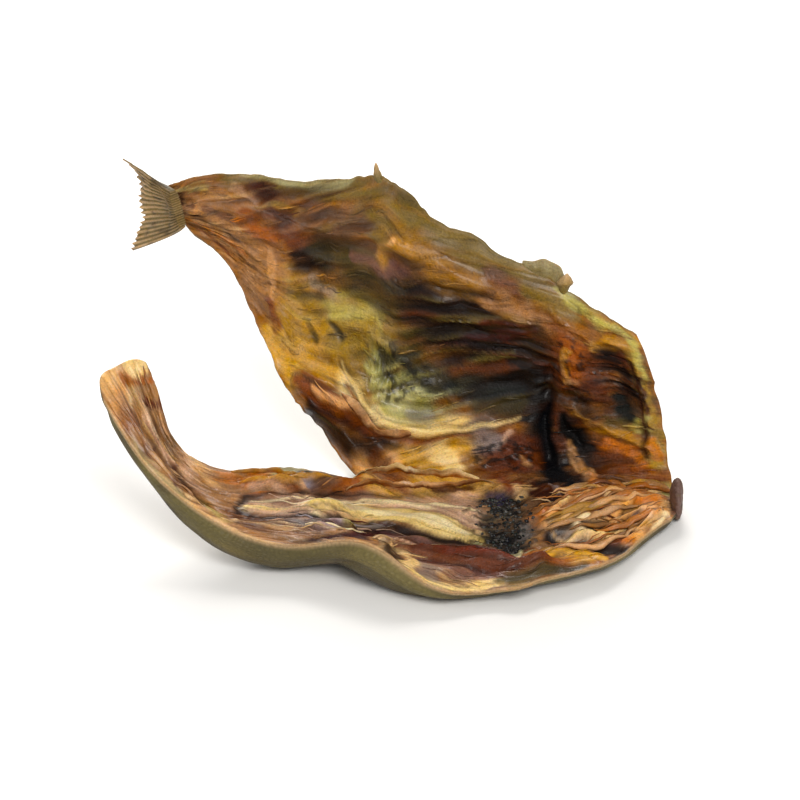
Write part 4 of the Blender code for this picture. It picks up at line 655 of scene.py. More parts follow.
class FishSizes(bpy.types.PropertyGroup):
    crease: length("Crease", "Depth of the drying creases in the flesh", 1.1)
    crumb: length("Crumb", "Height of the crumbly patches", 0.8)
    ragged: length("Ragged edge", "How far the cut edges wander", 0.7)
    skin_crease: length("Skin crease", "Depth of the creases in the outer skin", 0.45)
    strand: length("Strand", "Half width of a thin gill filament", 0.4)
    strands: bpy.props.IntProperty(name="Strands", description="How many leafy gill filaments", default=20,
                                   min=0)


def smoothstep(x, low, high):
    """0 up to low, 1 from high on, with an eased climb between them."""
    t = np.clip((x - low) / (high - low), 0.0, 1.0)
    return t * t * (3.0 - 2.0 * t)


def rounded(x, power, least=0.0):
    """1 in the middle, rounded off towards x = -1 and 1, and squarer the higher the power."""
    return np.sqrt(np.clip(1.0 - x ** power, least, 1.0))


def crowded(t, share):
    """Shares from 0 to 1, moved towards both ends so that the rows lie closer there."""
    return t - share * np.sin(2.0 * math.pi * t) / (2.0 * math.pi)


def spline(table, at):
    """A natural cubic spline through the rows of table: the key first, then its values."""
    table = np.array(table, float)
    keys = table[:, 0]
    values = table[:, 1:]
    count = len(keys)
    step = np.diff(keys)
    slope = np.diff(values, axis=0) / step[:, None]
    system = np.eye(count)
    right = np.zeros_like(values)
    for i in range(1, count - 1):
        system[i, i - 1:i + 2] = step[i - 1], 2.0 * (step[i - 1] + step[i]), step[i]
        right[i] = 6.0 * (slope[i] - slope[i - 1])
    bend = np.linalg.solve(system, right)
    i = np.clip(np.searchsorted(keys, at, side="right") - 1, 0, count - 2)
    t = (at - keys[i])[..., None]
    h = step[i][..., None]
    run = slope[i] - h * (2.0 * bend[i] + bend[i + 1]) / 6.0
    return values[i] + t * run + t ** 2 * bend[i] / 2.0 + t ** 3 * (bend[i + 1] - bend[i]) / (6.0 * h)


def unit(vectors):
    """The same directions, each one long."""
    return vectors / np.maximum(np.linalg.norm(vectors, axis=-1, keepdims=True), 1e-9)


def soft_noise(x, y, seed):
    """Smooth noise from -1 to 1, one bump to each whole step of x and y."""
    table = np.random.default_rng(seed).uniform(-1.0, 1.0, (NOISE_CELLS, NOISE_CELLS))
    column, row = np.floor(x).astype(int), np.floor(y).astype(int)
    s, t = smoothstep(x - column, 0.0, 1.0), smoothstep(y - row, 0.0, 1.0)
    left, right = column % NOISE_CELLS, (column + 1) % NOISE_CELLS
    low, high = (table[r % NOISE_CELLS, left] * (1 - s) + table[r % NOISE_CELLS, right] * s
                 for r in (row, row + 1))
    return low * (1 - t) + high * t


def layered(x, y, seed, *layers):
    """Noise of several sizes: each layer gives its size along x, its size along y and its share."""
    return sum(share * soft_noise(x / long, y / wide, seed + i)
               for i, (long, wide, share) in enumerate(layers))


def ripple(x, seed):
    """Smooth noise that changes along one direction only."""
    return soft_noise(x, 0.0 * x, seed)


def colour(name):
    """One of the fish's colours, as a user has set it."""
    return np.array(tuple(getattr(bpy.context.scene.fish_colours, name)))


def named(names):
    """Several of the fish's colours, one to a row."""
    return np.array([colour(name) for name in names])


def mixed(low, high, share):
    """From one colour to another, by each point's share."""
    return low + (high - low) * share[..., None]


def paint(tint, over, share):
    """Lays a colour over tint, as thick as each point's share says."""
    tint += (over - tint) * share[..., None]


def edges(v):
    """The belly and back edges of both halves at v, sharing one belly line up to the join."""
    near = spline(FOLD + NEAR_BELLY, v)
    far = spline(FOLD + FAR_BELLY, v)
    shared = (near + far) / 2.0
    own = smoothstep(v, JOIN - JOIN_EASE, JOIN)[..., None]
    near_belly, far_belly = (shared + (each - shared) * own for each in (near, far))
    return near_belly, far_belly, spline(NEAR_BACK, v), spline(FAR_BACK, v)


def middle(v, u):
    """The middle of the sheet: u is -1 at the near back edge, 0 at the belly, 1 at the far back edge."""
    v = v + HEAD_CORNER * np.abs(u) ** 6 * np.clip(1.0 - v, 0.0, 1.0) ** 10
    near_belly, far_belly, near_back, far_back = edges(v)
    ahead = edges(v + AHEAD)
    radius = FOLD_ROUND * (1.0 - smoothstep(v, JOIN - JOIN_EASE, JOIN + 0.08))
    soft = np.sqrt(u * u + radius * radius)
    near = ((soft - u) / 2.0)[..., None]
    far = ((soft + u) / 2.0)[..., None]
    near_chord = near_back - near_belly
    far_chord = far_back - far_belly
    near_up = unit(np.cross(ahead[0] + ahead[2] - near_belly - near_back, near_chord))
    far_up = unit(np.cross(far_chord, ahead[1] + ahead[3] - far_belly - far_back))
    belly = np.where((u < 0)[..., None], near_belly, far_belly)
    near_bow = spline(NEAR_BOW, v) * 4.0 * near * (1.0 - np.minimum(near, 1.0))
    far_bow = spline(FAR_BOW, v) * FAR_DISH * far * (1.0 - np.minimum(far, 1.0)) ** 2
    place = belly + near_chord * near + far_chord * far - near_up * near_bow - far_up * far_bow
    height = (place[..., 2] - FLOOR_GAP) / FLOOR_SOFT
    place[..., 2] = FLOOR_GAP + FLOOR_SOFT * np.logaddexp(0.0, height)
    return place


def signed(w, far):
    """The place across both halves that belongs to w on one of them."""
    return np.maximum(w, 0.0) if far else np.minimum(-w, -1e-9)


def flesh_side(v, w, far):
    """Unit normals of a half on its flesh side."""
    side = 1.0 if far else -1.0
    u = signed(w, far)
    along = middle(v + NORMAL_STEP, u) - middle(v - NORMAL_STEP, u)
    back = np.where((v < JOIN) | (np.abs(u) > NORMAL_STEP), u - side * NORMAL_STEP, u)
    across = (middle(v, u + side * NORMAL_STEP) - middle(v, back)) * side
    return unit(np.cross(across, along))


def stretches(v, w, points):
    """For each stretch of a line through points: the share of it nearest to each place, and how far off."""
    path = np.array(points) * (LENGTH, HALF_WIDTH)
    place = np.stack([v * LENGTH, w * HALF_WIDTH], -1)
    for start, end in zip(path[:-1], path[1:]):
        run = end - start
        t = np.clip(((place - start) @ run) / (run @ run), 0.0, 1.0)
        yield t, np.linalg.norm(place - start - t[..., None] * run, axis=-1)


def distance(v, w, points):
    """How far, in millimetres, each place of a half is from a line through points."""
    return np.min([away for _, away in stretches(v, w, points)], axis=0)


def band(v, w, points, widths):
    """How far inside a strip each place lies, in millimetres; its half width changes along its points."""
    parts = zip(stretches(v, w, points), widths[:-1], widths[1:])
    return np.max([first + (last - first) * t - away for (t, away), first, last in parts], axis=0)


def line(v, w, form, points):
    """A ridge or groove along a line; form is its height and half width."""
    height, width = form
    return height * np.exp(-(distance(v, w, points) / width) ** 2)


def mound(v, w, height, centre, reach):
    """A mound or hollow round centre."""
    away = ((v - centre[0]) / reach[0]) ** 2 + ((w - centre[1]) / reach[1]) ** 2
    return height * np.exp(-away * MOUND_FALL)


def patch(v, w, fullness, centre, reach):
    """A mask that is 1 in the middle of a patch and fades to 0 round it."""
    return np.clip(mound(v, w, fullness, centre, reach), 0.0, 1.0)


def off_belly(v, w, reach):
    """0 on the free belly edges behind the join, 1 from reach inwards and all along the fold."""
    return smoothstep(w + np.maximum(JOIN + 0.02 - v, 0.0) * 6.0, 0.0, reach)


def rim(v, w):
    """0 on the free edges, 1 a few millimetres inside them."""
    back = smoothstep(1.0 - w, 0.0, 0.1)
    ends = smoothstep(v, 0.0, SNOUT_EASE) * smoothstep(1.0 - v, 0.0, TAIL_EASE)
    return back * ends * off_belly(v, w, 0.1)


def rounding(v, w):
    """How far a free edge is rounded off: little is left on the edge itself, all of it further in."""
    inside = np.minimum((1.0 - w) * HALF_WIDTH, np.minimum(v, 1.0 - v) * LENGTH)
    inside = np.minimum(inside, w * HALF_WIDTH + np.maximum(JOIN - v, 0.0) * LENGTH)
    t = np.clip(inside / EDGE_ROUND, 0.0, 1.0)
    return np.maximum(np.sqrt(1.0 - (1.0 - t) ** 2), EDGE_LEAST)


def wrinkles(v, w, far):
    """Broad lengthwise drying wrinkles, as in the solid."""
    slant = w + 0.55 * v if far else w + 0.25 * np.sin(v * 5.0)
    coarse = soft_noise(v * 7.0 + 3.0, slant * 11.0, SEED)
    fine = soft_noise(v * 16.0, slant * 21.0, SEED + 1)
    return 1.1 * coarse + 0.7 * fine


def fibres(v, w, far):
    """Coordinates along and across the muscle fibres, in millimetres."""
    along = v * LENGTH
    across = w * HALF_WIDTH
    if far:
        slant = LENGTH * (0.3 * (v - 0.5) + 0.14 * (v ** 2 - 0.25))
        across = across + slant * (1.0 - 0.45 * smoothstep(w, 0.45, 1.0))
    else:
        course = spline(NEAR_COURSE, v)
        across = (w - course[..., 0]) * HALF_WIDTH / course[..., 1]
    warp = layered(along, across, SEED + 4, (13.0, 9.0, 1.6 if far else 1.2), (5.0, 3.5, 0.8))
    return along + 2.0 * warp, across + warp


def calm(v, w, far):
    """How smooth and glossy the flesh is, from 0 to 1: on the near backbone, and towards the tail."""
    tail = smoothstep(v, *CALM_TAIL)
    if far:
        return 0.15 * tail
    return np.maximum(tail, patch(v, w, 1.4, *CALM_PATCH))


def creases(along, across, seed):
    """Ridges with sharp creases between them, from 0 to about 1, drawn out along the fibres."""
    total = np.zeros(along.shape)
    for i, (long, wide, share) in enumerate(CREASES):
        bumps = soft_noise(along / long + i * 7.3, across / wide + i * 3.1, seed + i)
        ridge = np.sqrt(bumps ** 2 + 0.004) - 0.063
        total += share * np.minimum(ridge * 2.0, 1.0)
    return total


def crumbs(v, w, far):
    """Crumbly relief inside a half's patches, and how strong it is there."""
    grain = layered(v * LENGTH, w * HALF_WIDTH, SEED + 20, (1.7, 1.5, 0.55), (0.8, 0.8, 0.45))
    mask = np.zeros(v.shape)
    for centre, reach in (FAR_CRUMBS if far else NEAR_CRUMBS):
        mask = np.maximum(mask, patch(v, w, 1.6, centre, reach))
    return grain * mask, mask


def relief(v, w, far):
    """Height of the flesh over the plain sheet, and the fine part of it, in millimetres."""
    sizes = bpy.context.scene.fish_sizes
    total = FLESH_WRINKLE * wrinkles(v, w, far)
    for form, points in (FAR_LINES if far else NEAR_LINES):
        total += line(v, w, form, points)
    for height, centre, reach in (FAR_MOUNDS if far else NEAR_MOUNDS):
        total += mound(v, w, height, centre, reach)
    along, across = fibres(v, w, far)
    grain, crumbly = crumbs(v, w, far)
    fine = sizes.crease / MM * (creases(along, across, SEED + 10) - CREASE_MIDDLE)
    fine = fine * (1.0 - 0.6 * crumbly) * (1.0 - 0.62 * calm(v, w, far))
    return total, fine + sizes.crumb / MM * grain


def strokes(v, w, far):
    """The flesh's painted colour, with painted highlights, painted shade in its cracks and along the foot of
    its strips, and the relief that belongs to it.
    """
    along, across = fibres(v, w, far)
    x, y = v * LENGTH, w * HALF_WIDTH
    stray = layered(along, across, SEED + 31, (9.0, 1.4, 1.0), (4.0, 0.9, 0.5))
    weave = 1.0 + (0.32 - 0.22 * calm(v, w, far)) * soft_noise(along / 11.0, across / 1.1, SEED + 35)
    vv = v + 1.2 * soft_noise(x / 3.1, y / 3.1, SEED + 33) / LENGTH
    ww = w + soft_noise(x / 3.7, y / 3.7, SEED + 34) / HALF_WIDTH
    bent = v + 0.8 * soft_noise(x / 9.0, y / 9.0, SEED + 33) / LENGTH
    tint = np.tile(colour("tan" if far else "fawn"), (len(v), 1))
    height = np.zeros(v.shape)
    for name, width, strength, raised, points in (FAR_STROKES if far else NEAR_STROKES):
        away = distance(vv, ww, points) + STROKE_STRAY * min(width, WIDEST_STRAY) * stray
        mask = smoothstep(away, 1.5 * width + 0.06 * width ** 2, 0.4 * width - 0.03 * width ** 2)
        mask = np.clip(mask * weave, 0.0, 1.0)
        paint(tint, colour(name), strength * mask)
        height += raised * mask
    for k, zone in enumerate(FAR_ZONES if far else NEAR_ZONES):
        height += streaked(tint, v, w, along, across, zone, SEED + 38 + 3 * k)
    patina = 1.0 + 0.2 * soft_noise(along / 9.0, across / 1.9, SEED + 63)
    for name, high, points, widths in (FAR_BANDS if far else NEAR_BANDS):
        inside = band(bent, ww, points, widths) + BAND_STRAY * stray
        mask = smoothstep(inside, -0.65, 0.5)
        # Painted shade along the foot of each strip, where the flesh is also sunk a little.
        foot_shade = smoothstep(inside, -1.2, -0.4) * (1.0 - mask) * 0.4
        paint(tint, colour("umber"), foot_shade)
        paint(tint, colour(name) * patina[:, None], 0.9 * mask)
        height += high * smoothstep(inside, -0.5, 1.2) - 0.2 * foot_shade
    grain, crumbly = crumbs(v, w, far)
    tint *= 1.0 - 0.7 * smoothstep(grain, 0.08, 0.4)[:, None]
    where = smoothstep(soft_noise(along / 9.0, across / 5.0, SEED + 37), -0.35, 0.5)
    where = where * (1.0 - 0.7 * crumbly) * (1.0 - 0.8 * calm(v, w, far))
    # Painted shade in the fine cracks, which are sunk by the same mask.
    cracks = smoothstep(np.abs(soft_noise(along / 13.0, across / 1.7, SEED + 36)), 0.13, 0.0) * where
    paint(tint, colour("umber"), 0.2 * cracks)
    return contrasted(tint), height - CRACK_DEPTH * cracks


def streaked(tint, v, w, along, across, zone, seed):
    """Paints a zone's streaks on tint, and returns how they rise and sink."""
    centre, reach, *shades, strength, high, wide = zone
    there = patch(v, w, 1.3, centre, reach)
    ridge = layered(along, across, seed, (13.0, wide, 1.0), (6.0, 0.6 * wide, 0.5))
    first, second, deep = named(shades)
    mix = smoothstep(soft_noise(along / 9.0, across / 3.5, seed + 2), -0.3, 0.3)
    paint(tint, mixed(first, second, mix), strength * there * smoothstep(ridge, 0.1, 0.9))
    paint(tint, deep, strength * there * smoothstep(-ridge, 0.2, 1.0))
    return high * ridge * there


def contrasted(tint):
    """Deepens dark colours and lifts pale ones."""
    deep = CONTRAST_PIVOT * (tint / CONTRAST_PIVOT) ** CONTRAST * TONE
    return deep * np.minimum(1.0, PALEST / np.maximum(deep.max(-1, keepdims=True), 1e-6))


def seam(v, w, values, other):
    """Eases a half's values into the mean of both halves along the belly fold."""
    share = 0.5 * (1.0 - smoothstep(w, 0.0, 0.05)) * (1.0 - smoothstep(v, JOIN - 0.03, JOIN))
    if values.ndim == 2:
        share = share[:, None]
    return values + (other - values) * share


def skin_depth(v, w, far):
    """Thickness below the middle: thin at the belly, thick and round along the back."""
    if far:
        back = FAR_THICK - 0.8 * smoothstep(v, 0.8, 1.0)
    else:
        back = NEAR_THICK * smoothstep(v, 0.42, 0.54) * (1.0 - 0.85 * smoothstep(v, 0.68, 0.88)) + 1.4
    thick = back * smoothstep(w, 0.2, 0.85)
    round_off = rounded((w - (1.0 - BACK_ROUND)) / BACK_ROUND, 2)
    body = (0.9 + thick) * np.where(w > 1.0 - BACK_ROUND, round_off, 1.0)
    body += 0.25 * wrinkles(v, 1.3 * w + 0.2, far)
    body += head_relief(v, w)
    inside = smoothstep(v, 0.0, SNOUT_EASE)
    if not far:
        inside = inside * smoothstep(1.0 - v, 0.0, TAIL_EASE)
    return EDGE + np.maximum(body - EDGE, 0.0) * inside * off_belly(v, w, 0.08)


def head_relief(v, w):
    """Sunken eye in its ring, gill cover, side fin and side line on the skin."""
    eye = np.hypot((v - EYE[0]) * LENGTH, (w - EYE[1]) * HALF_WIDTH)
    form = 1.3 * np.exp(-((eye - 5.4) / 1.8) ** 2) - 1.4 * np.exp(-(eye / 3.6) ** 2)
    for ridge, points in SKIN_LINES:
        form += line(v, w, ridge, points)
    return form


def deselect():
    """Takes the selection off everything, the solid's own meshes included."""
    for obj in bpy.context.selected_objects:
        obj.select_set(False)


def just_added(name):
    """Names the primitive that was added last, and its mesh."""
    piece = bpy.context.object
    piece.name = piece.data.name = name
    return piece


def slab(name, rows, columns):
    """A flat slab of two layers from -1 to 1, closed all round, ready to be laid along the fish."""
    deselect()
    bpy.ops.mesh.primitive_grid_add(x_subdivisions=rows, y_subdivisions=columns, size=2.0)
    piece = just_added(name)
    wall = piece.modifiers.new("wall", "SOLIDIFY")
    wall.thickness = 1.0
    wall.offset = 0.0
    bpy.ops.object.modifier_apply(modifier=wall.name)
    return piece


def mesh_points(piece):
    """A piece's points, one to a row."""
    points = np.empty(len(piece.data.vertices) * 3)
    piece.data.vertices.foreach_get("co", points)
    return points.reshape(-1, 3)


def flat_points(piece):
    """A slab's places along and across it from 0 to 1, and which points are in its upper layer."""
    x, y, z = mesh_points(piece).T
    return (x + 1.0) / 2.0, (y + 1.0) / 2.0, z > 0.0


def lay(piece, places, tint, wet, grain, smooth=60.0):
    """Puts a mesh's points at their places, given in millimetres, and gives it colour and fibre direction."""
    mesh = piece.data
    mesh.vertices.foreach_set("co", ((places - np.array(CENTRE)) * MM).astype(np.float32).ravel())
    painted = mesh.color_attributes.new("tint", "FLOAT_COLOR", "POINT")
    rgba = np.concatenate([np.clip(tint, 0.0, 1.0), np.clip(wet, 0.0, 1.0)[:, None]], 1)
    painted.data.foreach_set("color", rgba.astype(np.float32).ravel())
    for old in list(mesh.uv_layers):
        mesh.uv_layers.remove(old)
    layer = mesh.uv_layers.new(name="fibres")
    corners = np.empty(len(mesh.loops), int)
    mesh.loops.foreach_get("vertex_index", corners)
    layer.uv.foreach_set("vector", (np.stack(grain, -1)[corners] / 10.0).astype(np.float32).ravel())
    mesh.update()
    deselect()
    piece.select_set(True)
    bpy.context.view_layer.objects.active = piece
    bpy.ops.object.mode_set(mode="EDIT")
    bpy.ops.mesh.select_all(action="SELECT")
    bpy.ops.mesh.normals_make_consistent(inside=False)
    bpy.ops.object.mode_set(mode="OBJECT")
    bpy.ops.object.shade_smooth_by_angle(angle=math.radians(smooth))


def hand_over(piece, *finishes):
    """Gives a piece its finishes and lets it stand for the solid."""
    piece.data.materials.clear()
    for finish in finishes:
        piece.data.materials.append(finish)
    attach(piece, "root")
    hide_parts(NODE)


def flesh_top(v, w, far):
    """The flesh surface over the middle of the sheet, its fine relief, and its painted colour."""
    form, fine = relief(v, w, far)
    tint, raised = strokes(v, w, far)
    other_form, other_fine = relief(v, w, not far)
    other_tint, other_raised = strokes(v, w, not far)
    own_flesh, other_flesh = (FAR_FLESH, NEAR_FLESH) if far else (NEAR_FLESH, FAR_FLESH)
    fine = seam(v, w, fine + raised, other_fine + other_raised)
    form = seam(v, w, form + own_flesh, other_form + other_flesh)
    tint = seam(v, w, tint, other_tint)
    inside = rim(v, w)
    above = FLESH_EDGE + (form + fine * smoothstep(inside, 0.0, 0.5)) * inside
    above = above + 0.25 * fine * (1.0 - inside)
    return above * rounding(v, w), fine, tint


def on_flesh(v, w, far, lift=0.0):
    """Places on the flesh of a half, raised by lift millimetres, with the normals and the colour there."""
    shape = v.shape
    lift = np.ravel(lift + 0.0 * v)
    v, w = v.ravel(), w.ravel()
    above, _, tint = flesh_top(v, w, far)
    normal = flesh_side(v, w, far)
    places = middle(v, signed(w, far)) + normal * (above + lift)[:, None]
    places[:, 2] = np.maximum(places[:, 2], THINNEST)
    return [a.reshape(*shape, 3) for a in (places, normal, tint)]


def half(name, far):
    """One half of the fish: flesh inside, skin outside, thin ragged edges all round."""
    sizes = bpy.context.scene.fish_sizes
    piece = slab(name, HALF_ROWS, HALF_COLUMNS)
    s, t, top = flat_points(piece)
    v, w = crowded(s, 0.06), crowded(t, 0.4)
    above, fine, tint = flesh_top(v, w, far)
    along, across = v * LENGTH, w * HALF_WIDTH
    folds = creases(along * 0.8 + 40.0, across * 0.9 + 3.0 * np.sin(v * 9.0), SEED + 50) - 0.5
    crumple = sizes.skin_crease / MM * folds * smoothstep(w, 0.0, 0.1)
    below = skin_bottom(v, w, far, above, crumple)
    vv, ww = wandered(v, w)
    normal = flesh_side(vv, ww, far)
    places = middle(vv, signed(ww, far)) + normal * np.where(top, above, -below)[:, None]
    places[:, 2] = np.maximum(places[:, 2], np.where(top, THINNEST, 0.0))
    # Painted shade in the troughs of the fine relief and painted light on its ridges, with a little random
    # tone.
    shadow = 0.62 + 0.52 * smoothstep(fine, -0.55, 0.45)
    shadow = shadow + 0.06 * soft_noise(along / 2.0, across, SEED + 70)
    tint = np.where(top[:, None], tint * shadow[:, None], skin_tint(v, w, folds))
    # A paler lip along the cut back edge: partly the thin edge's own colour, partly painted glow of light
    # shining through it.
    lip = (1.0 - smoothstep((1.0 - w) * HALF_WIDTH, 0.1, np.where(top, 0.9, 0.35))) * 0.7
    paint(tint, colour("olive" if far else "sand"), lip)
    wet = 0.45 + 0.5 * soft_noise(along / 6.0, across / 4.0, SEED + 71) + 0.4 * calm(v, w, far)
    wet = np.where(top, np.clip(wet, 0.0, 1.0), SKIN_WET)
    grain_along, grain_across = fibres(v, w, far)
    lay(piece, places, tint, wet, (np.where(top, grain_along, along), np.where(top, grain_across, across)))
    hand_over(piece, flesh_finish(), skin_finish())
    outside = np.array([not any(top[i] for i in face.vertices) for face in piece.data.polygons])
    piece.data.polygons.foreach_set("material_index", outside.astype(int))


def skin_bottom(v, w, far, above, crumple=0.0):
    """How far the outer skin lies below the middle of the sheet."""
    below = skin_depth(v, w, far) - 0.1 + crumple
    return np.maximum(below, THINNEST - 0.15 - above) * rounding(v, w)


def wandered(v, w):
    """Moves the places near the free edges a little, so that the edges look torn and dried."""
    ragged = bpy.context.scene.fish_sizes.ragged / MM
    wander = ragged * (ripple(v * 26.0, SEED + 60) + 0.5 * ripple(v * 90.0, SEED + 61))
    ww = w + wander / HALF_WIDTH * smoothstep(w, 0.93, 1.0)
    belly = np.abs(wander) / HALF_WIDTH * (1.0 - smoothstep(w, 0.0, 0.06))
    ww = ww + belly * smoothstep(v, JOIN, JOIN + 0.04)
    head_wander = np.abs(ragged * ripple(w * 12.0, SEED + 62)) / LENGTH
    corner = TAIL_CORNER * np.abs(2.0 * w - 1.0) ** 5 * smoothstep(v, 0.9, 1.0)
    return v - corner + head_wander * (1.0 - smoothstep(v, 0.0, 0.03)), ww


def rods(name, count, sides, rings):
    """Copies of one closed rod in one mesh, with each point's place along its rod (0 to 1) and round it."""
    deselect()
    bpy.ops.mesh.primitive_uv_sphere_add(segments=sides, ring_count=rings, radius=1.0)
    piece = just_added(name)
    copies = piece.modifiers.new("copies", "ARRAY")
    copies.use_relative_offset = False
    copies.count = count
    bpy.ops.object.modifier_apply(modifier=copies.name)
    points = mesh_points(piece).reshape(count, -1, 3)
    t = np.arccos(np.clip(points[..., 2], -1.0, 1.0)) / math.pi
    return piece, t, points[..., :2]


def blunted(circle, power, least=0.0):
    """A rod's outline with fuller ends: its reach raised to a power below 1, and 0 up to least."""
    reach = np.linalg.norm(circle, axis=-1, keepdims=True)
    return circle / np.maximum(reach, 1e-6) * np.where(reach > least, reach ** power, 0.0)


def strands(name, far, paths, lifts, radii, tints, sides, rings, wet, thickness=0.6, blunt=0.6, lumps=0.0):
    """Thin rods lying on the flesh.

    A path is a row of (v, w) points, a lift goes with each point, and a radius and a colour with each rod.
    """
    paths = np.array(paths, float)
    count = len(paths)
    piece, t, circle = rods(name, count, sides, rings)
    stations = np.linspace(0.0, 1.0, rings + 1)
    keys = np.linspace(0.0, 1.0, paths.shape[1])
    table = np.concatenate([keys[:, None], np.moveaxis(paths, 0, 1).reshape(len(keys), -1)], 1)
    route = np.moveaxis(spline(table, stations).reshape(len(stations), count, 2), 0, 1)
    route = np.clip(route, 0.0, 1.0)
    lift = spline(np.concatenate([keys[:, None], np.array(lifts, float).T], 1), stations).T
    centre, normal, _ = on_flesh(route[..., 0], route[..., 1], far, lift)
    run = unit(np.gradient(centre, axis=1))
    side = unit(np.cross(run, normal))
    rise = np.cross(side, run)
    ring = np.rint(t * rings).astype(int)
    pick = np.arange(count)[:, None]
    way = blunted(circle, blunt, 1e-4)
    girth = np.array(radii, float)[:, None, None]
    if lumps:
        girth = girth * (1.0 + lumps * soft_noise(t * 9.0, pick * 7.7, SEED + 90))[..., None]
    outline = way[..., :1] * side[pick, ring] + thickness * way[..., 1:] * rise[pick, ring]
    places = centre[pick, ring] + girth * outline
    places[..., 2] = np.maximum(places[..., 2], 0.3)
    span = t * np.linalg.norm(centre[:, -1] - centre[:, 0], axis=-1)[:, None]
    # Painted light on the top of each rod and painted shade down its sides and underside, with random tone
    # along it.
    ridge = 0.68 + 0.42 * smoothstep(way[..., 1], -0.5, 0.95)
    ridge = ridge * (0.9 + 0.4 * soft_noise(t * 6.0, pick * 3.3, SEED + 91))
    tint = np.array(tints, float)[:, None, :] * ridge[..., None]
    round_way = np.arctan2(way[..., 1], way[..., 0]) * girth[..., 0] + pick * 3.0
    lay(piece, places.reshape(-1, 3), tint.reshape(-1, 3), np.full(t.size, wet),
        (span.ravel(), round_way.ravel()))
    hand_over(piece, flesh_finish())


def any_of(kinds, draw, count):
    """A colour drawn for each of count strands out of some kinds."""
    return named([kinds[k] for k in draw.integers(0, len(kinds), count)])


def gill_filaments():
    """Dried gills of the near half: leafy filaments and thin ones between them, pointing to the snout."""
    sizes = bpy.context.scene.fish_sizes
    rays = np.array(GILL_RAYS)
    steps = np.linspace(0.0, 1.0, GILL_POINTS)
    for name, share_of, low, high, reach, thickness, rise, seed in GILL_KINDS:
        draw = np.random.default_rng(SEED + seed)
        count = share_of * sizes.strands
        place = np.linspace(0.0, len(rays) - 1.001, count) + draw.uniform(-0.2, 0.2, count)
        start = draw.uniform(-0.05, 0.7, count)
        share = (start[:, None] + draw.uniform(0.6, 1.2, (count, 1)) * reach * steps) * 3.0
        tilt = place[:, None] + draw.uniform(-0.3, 0.3, (count, 1)) * np.linspace(-0.5, 0.5, GILL_POINTS)
        paths = between(rays, np.clip(tilt, 0.0, len(rays) - 1.001), np.clip(share, 0.0, 2.999))
        height = draw.uniform(0.2, 1.0, (count, 1)) * rise
        lifts = height * np.sin(np.linspace(0.2, 1.0, GILL_POINTS) * math.pi)
        lifts = lifts + draw.uniform(-0.1, 0.2, (count, GILL_POINTS))
        radii = sizes.strand / MM * draw.uniform(low, high, count)
        strands(name, False, paths, lifts, radii, any_of(GILL_SHADES, draw, count), thickness=thickness,
                sides=12, rings=20, blunt=0.9, wet=0.8, lumps=0.22)


def between(rays, place, share):
    """Points between neighbouring courses: place counts the courses, share the points of each."""
    i, j = np.floor(place).astype(int), np.floor(share).astype(int)
    s, t = (place - i)[..., None], (share - j)[..., None]
    near = rays[i, j] * (1.0 - t) + rays[i, j + 1] * t
    return near * (1.0 - s) + (rays[i + 1, j] * (1.0 - t) + rays[i + 1, j + 1] * t) * s


def backbone_strips():
    """Long thin glistening strips of flesh along both sides of the backbone."""
    draw = np.random.default_rng(SEED + 101)
    shades, shifts = zip(*BACKBONE_STRIPS)
    count = len(shades)
    start, stop = draw.uniform(0.6, 0.69, (count, 1)), draw.uniform(0.4, 0.48, (count, 1))
    v = start + (stop - start) * np.linspace(0.0, 1.0, 9)
    w = spline(NEAR_COURSE, v)[..., 0] + np.array(shifts)[:, None] + draw.uniform(-0.003, 0.003, v.shape)
    lifts = draw.uniform(-0.2, 0.1, v.shape)
    strands("backbone_strips", False, np.stack([v, w], -1), lifts, draw.uniform(0.25, 0.6, count),
            named(shades), thickness=0.5, sides=10, rings=80, blunt=0.9, wet=0.95, lumps=0.25)


def torn_fibres(name, far, count, seed):
    """Loose fibres that dried on to the flesh, each in the colour of what it lies on."""
    draw = np.random.default_rng(seed)
    v = draw.uniform(0.03, 0.97, count)
    w = draw.uniform(0.06, 0.96, count)
    step = 0.004
    _, base = fibres(v, w, far)
    along_slope = (fibres(v + step, w, far)[1] - base) / step
    across_slope = (fibres(v, w + step, far)[1] - base) / step
    turn = np.clip(-along_slope / np.maximum(across_slope, 20.0), -2.0, 2.0)
    reach = draw.uniform(1.5, 4.0, count) / LENGTH
    steps = np.linspace(-1.0, 1.0, 4)
    paths = np.stack([v[:, None] + reach[:, None] * steps, w[:, None] + (reach * turn)[:, None] * steps], -1)
    paths[..., 1] += draw.uniform(-0.006, 0.006, (count, 4))
    lifts = draw.uniform(-0.15, 0.25, (count, 4))
    _, _, ground = on_flesh(v, w, far)
    tints = ground * draw.uniform(0.75, 1.3, (count, 1))
    strands(name, far, paths, lifts, draw.uniform(0.12, 0.3, count), tints, sides=5, rings=8, wet=0.6)


def gut_crumbs():
    """Crumbs of dried gut, on the black patch behind the gills."""
    count = GUT_CRUMBS
    draw = np.random.default_rng(SEED + 210)
    w = draw.uniform(0.19, 0.68, count)
    v = 0.292 + 0.03 * smoothstep(w, 0.35, 0.65) + 0.017 * draw.normal(0.0, 1.0, count)
    turn = draw.uniform(0.0, math.pi, count)
    half_length = draw.uniform(0.2, 0.7, (count, 1)) * np.linspace(-1.0, 1.0, 3)
    paths = np.stack([v[:, None] + half_length * np.cos(turn)[:, None] / LENGTH,
                      w[:, None] + half_length * np.sin(turn)[:, None] / HALF_WIDTH], -1)
    tints = any_of(GUT_SHADES, draw, count) * draw.uniform(0.5, 1.2, (count, 1))
    strands("gut_crumbs", False, paths, np.full((count, 3), -0.05), draw.uniform(0.2, 0.65, count), tints,
            thickness=0.8, sides=6, rings=5, blunt=0.7, wet=0.9, lumps=0.4)


